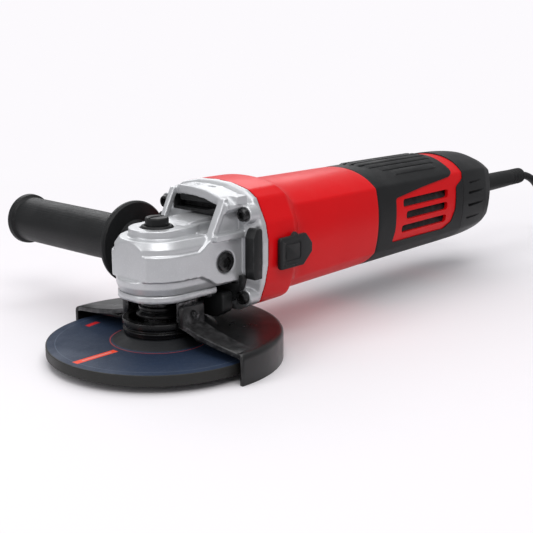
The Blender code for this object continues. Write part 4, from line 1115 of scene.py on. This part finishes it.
def route_points():
    """The bends of the cord's free length, and its turns as points about 5 mm apart."""
    points = [Vector(point) for point in CORD_ROUTE]
    cx, cy = COIL_CENTRE
    start = math.radians(90)
    total = len(COIL_RADII) * len(COIL_HEIGHTS)
    radii, heights = [], []
    for level, height in enumerate(COIL_HEIGHTS):
        order = COIL_RADII if level % 2 == 0 else COIL_RADII[::-1]
        for radius in order:
            radii.append(radius)
            heights.append(height)
    coil = []
    for i in range(total * TURN_STEPS - PLUG_STEPS):
        turn, part = divmod(i, TURN_STEPS)
        share = max(0.0, (part / TURN_STEPS - STEP_OVER) / (1 - STEP_OVER)) if turn + 1 < total else 0.0
        share = share * share * (3 - 2 * share)
        after = min(turn + 1, total - 1)
        radius = radii[turn] + (radii[after] - radii[turn]) * share
        height = heights[turn] + (heights[after] - heights[turn]) * share
        angle = start - 2 * math.pi * i / TURN_STEPS
        coil.append(Vector((cx + radius * math.cos(angle), cy + radius * math.sin(angle), height)))
    return points, coil


def smooth_through(knots, steps=8):
    """Points on a Catmull-Rom curve through the knots."""
    ends = [2 * knots[0] - knots[1]] + list(knots) + [2 * knots[-1] - knots[-2]]
    line = []
    for before, start, end, after in zip(ends, ends[1:], ends[2:], ends[3:]):
        for i in range(steps):
            t = i / steps
            line.append(0.5 * (2 * start + (end - before) * t
                               + (2 * before - 5 * start + 4 * end - after) * t ** 2
                               + (3 * start - before - 3 * end + after) * t ** 3))
    return line + [knots[-1]]


def make_cord():
    free, coil = route_points()
    line = smooth_through(free + [coil[0]], 8)[:-1] + coil
    curve = bpy.data.curves.new("mains_cord", "CURVE")
    curve.dimensions = "3D"
    curve.bevel_depth = CORD_RADIUS * MM
    curve.bevel_resolution = 4
    curve.use_fill_caps = True
    spline = curve.splines.new("POLY")
    spline.points.add(len(line) - 1)
    for point, where in zip(spline.points, line):
        point.co = (*at(*where), 1.0)
    spline.use_smooth = True
    cord = bpy.data.objects.new("mains_cord", curve)
    bpy.context.scene.collection.objects.link(cord)
    cord.data.materials.append(FINISHES["black_rubber"])
    place(cord, "machine", "black_rubber", "power_cord", "cord_coil")
    boot = make_boot()
    plug = make_plug()
    tie = make_tie()


def make_boot():
    outline = [(3.3, 390), (5.6, 390), (6.0, 389.2)]
    for i in range(4):
        x = 387.6 - 4.4 * i
        outline += [(6.15, x, 0.3), (5.5, x - 0.5, 0.3), (5.5, x - 1.5, 0.3), (6.2, x - 2.0, 0.3)]
    outline += [(6.4, 366), (6.7, 345), (6.7, 330.5, 0.4), (7.6, 329.6, 0.4), (7.6, 326.2, 0.4),
                (6.9, 325.4, 0.3), (6.9, 313), (3.3, 313)]
    boot = turned("cord_sleeve", rounded(outline, 0.4), (0, 0, MOTOR_Z), "X", 64)
    return complete(boot, "black_rubber", "machine", "cord_boot")


def make_tie():
    """A hook-and-loop strap round the coil."""
    x, y = COIL_CENTRE[0] + COIL_RADII[1], COIL_CENTRE[1]
    middle_z = COIL_HEIGHTS[1]
    rings = []
    for across in (-4.0, -3.7, 3.7, 4.0):
        grow = 0.0 if abs(across) < 3.9 else -0.15
        ring = [(x + a, y + across, z) for a, z in rounded(
            ((-10.4 - grow, middle_z - 8.9), (10.4 + grow, middle_z - 8.9),
             (10.4 + grow, middle_z + 10.5 + grow), (-10.4 - grow, middle_z + 10.5 + grow)), 2.5)]
        rings.append(ring)
    inner = []
    for across in (4.0, -4.0):
        inner.append([(x + a, y + across, z) for a, z in rounded(
            ((-9.3, middle_z - 8.3), (9.3, middle_z - 8.3), (9.3, middle_z + 9.4), (-9.3, middle_z + 9.4)),
            2.0)])
    tie = loft("cord_strap", rings + inner, loop=True)
    return complete(tie, "black_rubber", "machine", "cord_tie", slot="black_plastic")


def make_plug():
    """A round two-pin plug with a ribbed neck, lying beside the coil."""
    low, high = (Vector(corner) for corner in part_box("mains_plug"))
    x, z = ((low.x + high.x) / 2 - ORIGIN.x) / MM, ((low.z + high.z) / 2 - ORIGIN.z) / MM
    start = (high.y - ORIGIN.y) / MM
    outline = [(0, 0), (4.2, 0, 0.6), (4.9, -2)]
    for i in range(4):
        y = -3.2 - 3.0 * i
        outline += [(5.2 + 0.25 * i, y, 0.3), (4.4 + 0.25 * i, y - 0.5, 0.2), (4.4 + 0.25 * i, y - 1.4, 0.2),
                    (5.3 + 0.25 * i, y - 1.9, 0.3)]
    outline += [(6.6, -16.5, 2), (13.8, -29, 3), (13.8, -34, 0.5), (13.2, -34.4, 0.3), (13.2, -37.8, 1.0),
                (0, -37.8)]
    body = turned("plug_body", rounded(outline, 0.4), (x, start, z), "Y", 72)
    pins = []
    for off in (-9.5, 9.5):
        pin = rounded(((0, -36), (2.0, -36), (2.0, -55.6, 1.0), (0.8, -56.9, 0.5), (0, -56.9)), 0.2)
        pins.append(turned("plug_pin", pin, (x + off, start, z), "Y", 32))
    plug = complete(body, "black_plastic", "machine", "mains_plug")
    complete(merged("plug_pins", pins), "bright_steel", "machine")
    return plug


# Floor, light and camera


GROUND = (0.975, 0.955, 0.985)
GROUND_AS_LIGHT = 0.35
FLOOR_COLOUR = (0.78, 0.762, 0.785)
FLOOR_RADIUS = 9.0
FLOOR_FADE = (0.22, 0.56)  # metres from the machine between which the floor turns into the ground
ROOM_LIGHT = 0.42
LIGHT_AIM = (78, 0, 30)
LENS_LENGTH = 71.95
CAMERA_PLACE = (-0.50492, -0.46953, 0.19121)
CAMERA_FORWARD = (0.7162, 0.6552, -0.2404)

# Name, offset from where the lights aim, size, power and colour
STUDIO_LIGHTS = (
    ("key_softbox", (-0.55, -0.75, 1.15), (0.9, 0.7), 9.0, (1.0, 0.99, 0.985)),
    ("top_softbox", (0.10, 0.15, 1.40), (1.6, 1.2), 11.0, (1.0, 1.0, 1.0)),
    ("left_strip", (-1.10, 0.30, 0.55), (0.35, 0.9), 3.5, (1.0, 1.0, 1.0)),
    ("back_softbox", (0.75, 1.10, 0.80), (1.2, 0.7), 6.0, (0.99, 0.99, 1.0)),
)


def make_stage():
    scene = bpy.context.scene
    scene.view_settings.view_transform = "Standard"
    mesh = bpy.data.meshes.new("studio_floor")
    form = bmesh.new()
    bmesh.ops.create_circle(form, cap_ends=True, radius=FLOOR_RADIUS, segments=96)
    form.to_mesh(mesh)
    form.free()
    floor = bpy.data.objects.new("studio_floor", mesh)
    scene.collection.objects.link(floor)
    paper = bpy.data.materials.new("studio_paper")
    paper.use_nodes = True
    shader = paper.node_tree.nodes["Principled BSDF"]
    shader.inputs["Base Color"].default_value = (*FLOOR_COLOUR, 1.0)
    shader.inputs["Roughness"].default_value = 0.9
    shader.inputs["Specular IOR Level"].default_value = 0.0
    fade_out(paper, shader)
    floor.data.materials.append(paper)
    make_world(scene)
    aim = at(*LIGHT_AIM)
    for name, offset, size, watts, colour in STUDIO_LIGHTS:
        light = bpy.data.lights.new(name, "AREA")
        light.shape = "RECTANGLE"
        light.size, light.size_y = size
        light.energy = watts
        light.color = colour
        lamp = bpy.data.objects.new(name, light)
        scene.collection.objects.link(lamp)
        lamp.location = aim + Vector(offset)
        lamp.rotation_euler = (aim - lamp.location).to_track_quat("-Z", "Y").to_euler()
    lens = bpy.data.cameras.new("studio_camera")
    lens.lens = LENS_LENGTH
    lens.sensor_width = 36.0
    lens.clip_start = 0.01
    camera = bpy.data.objects.new("studio_camera", lens)
    scene.collection.objects.link(camera)
    camera.location = CAMERA_PLACE
    camera.rotation_euler = Vector(CAMERA_FORWARD).normalized().to_track_quat("-Z", "Y").to_euler()
    scene.camera = camera


def fade_out(paper, shader):
    """Lets the lit floor turn into an even pale ground away from the machine."""
    tree = paper.node_tree
    spot = tree.nodes.new("ShaderNodeTexCoord")
    away = tree.nodes.new("ShaderNodeVectorMath")
    away.operation = "LENGTH"
    tree.links.new(spot.outputs["Object"], away.inputs[0])
    share = spread(tree, away.outputs["Value"], *FLOOR_FADE)
    even = tree.nodes.new("ShaderNodeEmission")
    even.inputs["Color"].default_value = (*GROUND, 1.0)
    path = tree.nodes.new("ShaderNodeLightPath")
    tree.links.new(spread(tree, path.outputs["Is Camera Ray"], 0.0, 1.0, GROUND_AS_LIGHT, 1.0),
                   even.inputs["Strength"])
    mix = tree.nodes.new("ShaderNodeMixShader")
    tree.links.new(share, mix.inputs[0])
    tree.links.new(shader.outputs[0], mix.inputs[1])
    tree.links.new(even.outputs[0], mix.inputs[2])
    tree.links.new(mix.outputs[0], tree.nodes["Material Output"].inputs["Surface"])


def make_world(scene):
    """A pale room that is plain white to the camera and softer as a light."""
    world = bpy.data.worlds.new("studio_room")
    scene.world = world
    world.use_nodes = True
    tree = world.node_tree
    tree.nodes.clear()
    seen = tree.nodes.new("ShaderNodeBackground")
    seen.inputs["Color"].default_value = (*GROUND, 1.0)
    lit = tree.nodes.new("ShaderNodeBackground")
    lit.inputs["Color"].default_value = (0.97, 0.97, 1.0, 1.0)
    lit.inputs["Strength"].default_value = ROOM_LIGHT
    path = tree.nodes.new("ShaderNodeLightPath")
    mix = tree.nodes.new("ShaderNodeMixShader")
    out = tree.nodes.new("ShaderNodeOutputWorld")
    tree.links.new(path.outputs["Is Camera Ray"], mix.inputs[0])
    tree.links.new(lit.outputs[0], mix.inputs[1])
    tree.links.new(seen.outputs[0], mix.inputs[2])
    tree.links.new(mix.outputs[0], out.inputs["Surface"])


# Operators


class GRINDER_OT_stage(bpy.types.Operator):
    """Lay the floor and set the lights and the camera"""

    bl_idname = "grinder.stage"
    bl_label = "Studio stage"

    def execute(self, context):
        make_stage()
        return {"FINISHED"}


class GRINDER_OT_finishes(bpy.types.Operator):
    """Mix the shared effects and the materials, and dress the frame's inner parts"""

    bl_idname = "grinder.finishes"
    bl_label = "Finishes"

    def execute(self, context):
        make_finishes(context.scene.grinder_colours, context.scene.grinder_sizes)
        dress_inner_parts()
        return {"FINISHED"}


class GRINDER_OT_cord(bpy.types.Operator):
    """Route the mains cord, wind its coil and make what is on it"""

    bl_idname = "grinder.cord"
    bl_label = "Cord, boot and plug"

    def execute(self, context):
        make_cord()
        return {"FINISHED"}


class GRINDER_OT_wheel(bpy.types.Operator):
    """Turn the grinding wheel"""

    bl_idname = "grinder.wheel"
    bl_label = "Grinding wheel"

    def execute(self, context):
        make_wheel(context.scene.grinder_sizes)
        return {"FINISHED"}


class GRINDER_OT_flanges(bpy.types.Operator):
    """Turn the wheel's flanges and the neck above them"""

    bl_idname = "grinder.flanges"
    bl_label = "Flanges and neck"

    def execute(self, context):
        make_flanges(context.scene.grinder_sizes)
        return {"FINISHED"}


class GRINDER_OT_gear_case(bpy.types.Operator):
    """Cast the gear case and its lower plate"""

    bl_idname = "grinder.gear_case"
    bl_label = "Gear case"

    def execute(self, context):
        make_gear_case(context.scene.grinder_sizes)
        make_bearing_plate()
        return {"FINISHED"}


class GRINDER_OT_screws(bpy.types.Operator):
    """Make the screws and the plug in the handle's hole"""

    bl_idname = "grinder.screws"
    bl_label = "Screws"

    def execute(self, context):
        make_screws()
        return {"FINISHED"}


class GRINDER_OT_trim(bpy.types.Operator):
    """Mould the black trim, its side strips and the air baffle"""

    bl_idname = "grinder.trim"
    bl_label = "Outlet trim"

    def execute(self, context):
        make_trim()
        return {"FINISHED"}


class GRINDER_OT_button(bpy.types.Operator):
    """Make the spindle lock's button and its seal"""

    bl_idname = "grinder.button"
    bl_label = "Lock button"

    def execute(self, context):
        make_button(context.scene.grinder_sizes)
        return {"FINISHED"}


class GRINDER_OT_guard(bpy.types.Operator):
    """Press the wheel guard with its edges and lugs"""

    bl_idname = "grinder.guard"
    bl_label = "Wheel guard"

    def execute(self, context):
        make_guard(context.scene.grinder_sizes)
        return {"FINISHED"}


class GRINDER_OT_motor_housing(bpy.types.Operator):
    """Mould the motor housing"""

    bl_idname = "grinder.motor_housing"
    bl_label = "Motor housing"

    def execute(self, context):
        make_motor_housing(context.scene.grinder_sizes)
        return {"FINISHED"}


class GRINDER_OT_slider(bpy.types.Operator):
    """Make the sliding switch"""

    bl_idname = "grinder.slider"
    bl_label = "Power slider"

    def execute(self, context):
        make_slider()
        return {"FINISHED"}


class GRINDER_OT_rear_housing(bpy.types.Operator):
    """Mould the vented rear housing, its louvres and the black sheet of painted shade behind them"""

    bl_idname = "grinder.rear_housing"
    bl_label = "Rear housing"

    def execute(self, context):
        make_rear_housing(context.scene.grinder_sizes)
        return {"FINISHED"}


class GRINDER_OT_grip_sleeve(bpy.types.Operator):
    """Mould the grip sleeve with its ribs and windows"""

    bl_idname = "grinder.grip_sleeve"
    bl_label = "Grip sleeve"

    def execute(self, context):
        make_grip_sleeve(context.scene.grinder_sizes)
        return {"FINISHED"}


class GRINDER_OT_tail_cap(bpy.types.Operator):
    """Mould the tail cap"""

    bl_idname = "grinder.tail_cap"
    bl_label = "Tail cap"

    def execute(self, context):
        make_tail_cap()
        return {"FINISHED"}


class GRINDER_OT_handle(bpy.types.Operator):
    """Turn the side handle's grip"""

    bl_idname = "grinder.handle"
    bl_label = "Side handle"

    def execute(self, context):
        make_handle()
        return {"FINISHED"}


PIECES = (
    GRINDER_OT_stage, GRINDER_OT_finishes, GRINDER_OT_cord, GRINDER_OT_wheel, GRINDER_OT_flanges,
    GRINDER_OT_gear_case, GRINDER_OT_screws, GRINDER_OT_trim, GRINDER_OT_button, GRINDER_OT_guard,
    GRINDER_OT_motor_housing, GRINDER_OT_slider, GRINDER_OT_rear_housing, GRINDER_OT_grip_sleeve,
    GRINDER_OT_tail_cap, GRINDER_OT_handle)


class GRINDER_PT_panel(bpy.types.Panel):
    """Lists the sizes, the colours and the pieces"""

    bl_idname = "GRINDER_PT_panel"
    bl_label = "Angle grinder"
    bl_space_type = "VIEW_3D"
    bl_region_type = "UI"
    bl_category = "Grinder"

    def draw(self, context):
        layout = self.layout
        for group in (context.scene.grinder_sizes, context.scene.grinder_colours):
            column = layout.column()
            for label in group.__annotations__:
                column.prop(group, label)
        for piece in PIECES:
            layout.operator(piece.bl_idname)


CLASSES = (GrinderSizes, GrinderColours, *PIECES, GRINDER_PT_panel)


def register():
    for item in CLASSES:
        bpy.utils.register_class(item)
    bpy.types.Scene.grinder_sizes = PointerProperty(type=GrinderSizes)
    bpy.types.Scene.grinder_colours = PointerProperty(type=GrinderColours)


def unregister():
    del bpy.types.Scene.grinder_colours
    del bpy.types.Scene.grinder_sizes
    for item in reversed(CLASSES):
        bpy.utils.unregister_class(item)


def main():
    register()
    for piece in PIECES:
        namespace, operation = piece.bl_idname.split(".")
        getattr(getattr(bpy.ops, namespace), operation)()


if __name__ == "__main__":
    main()
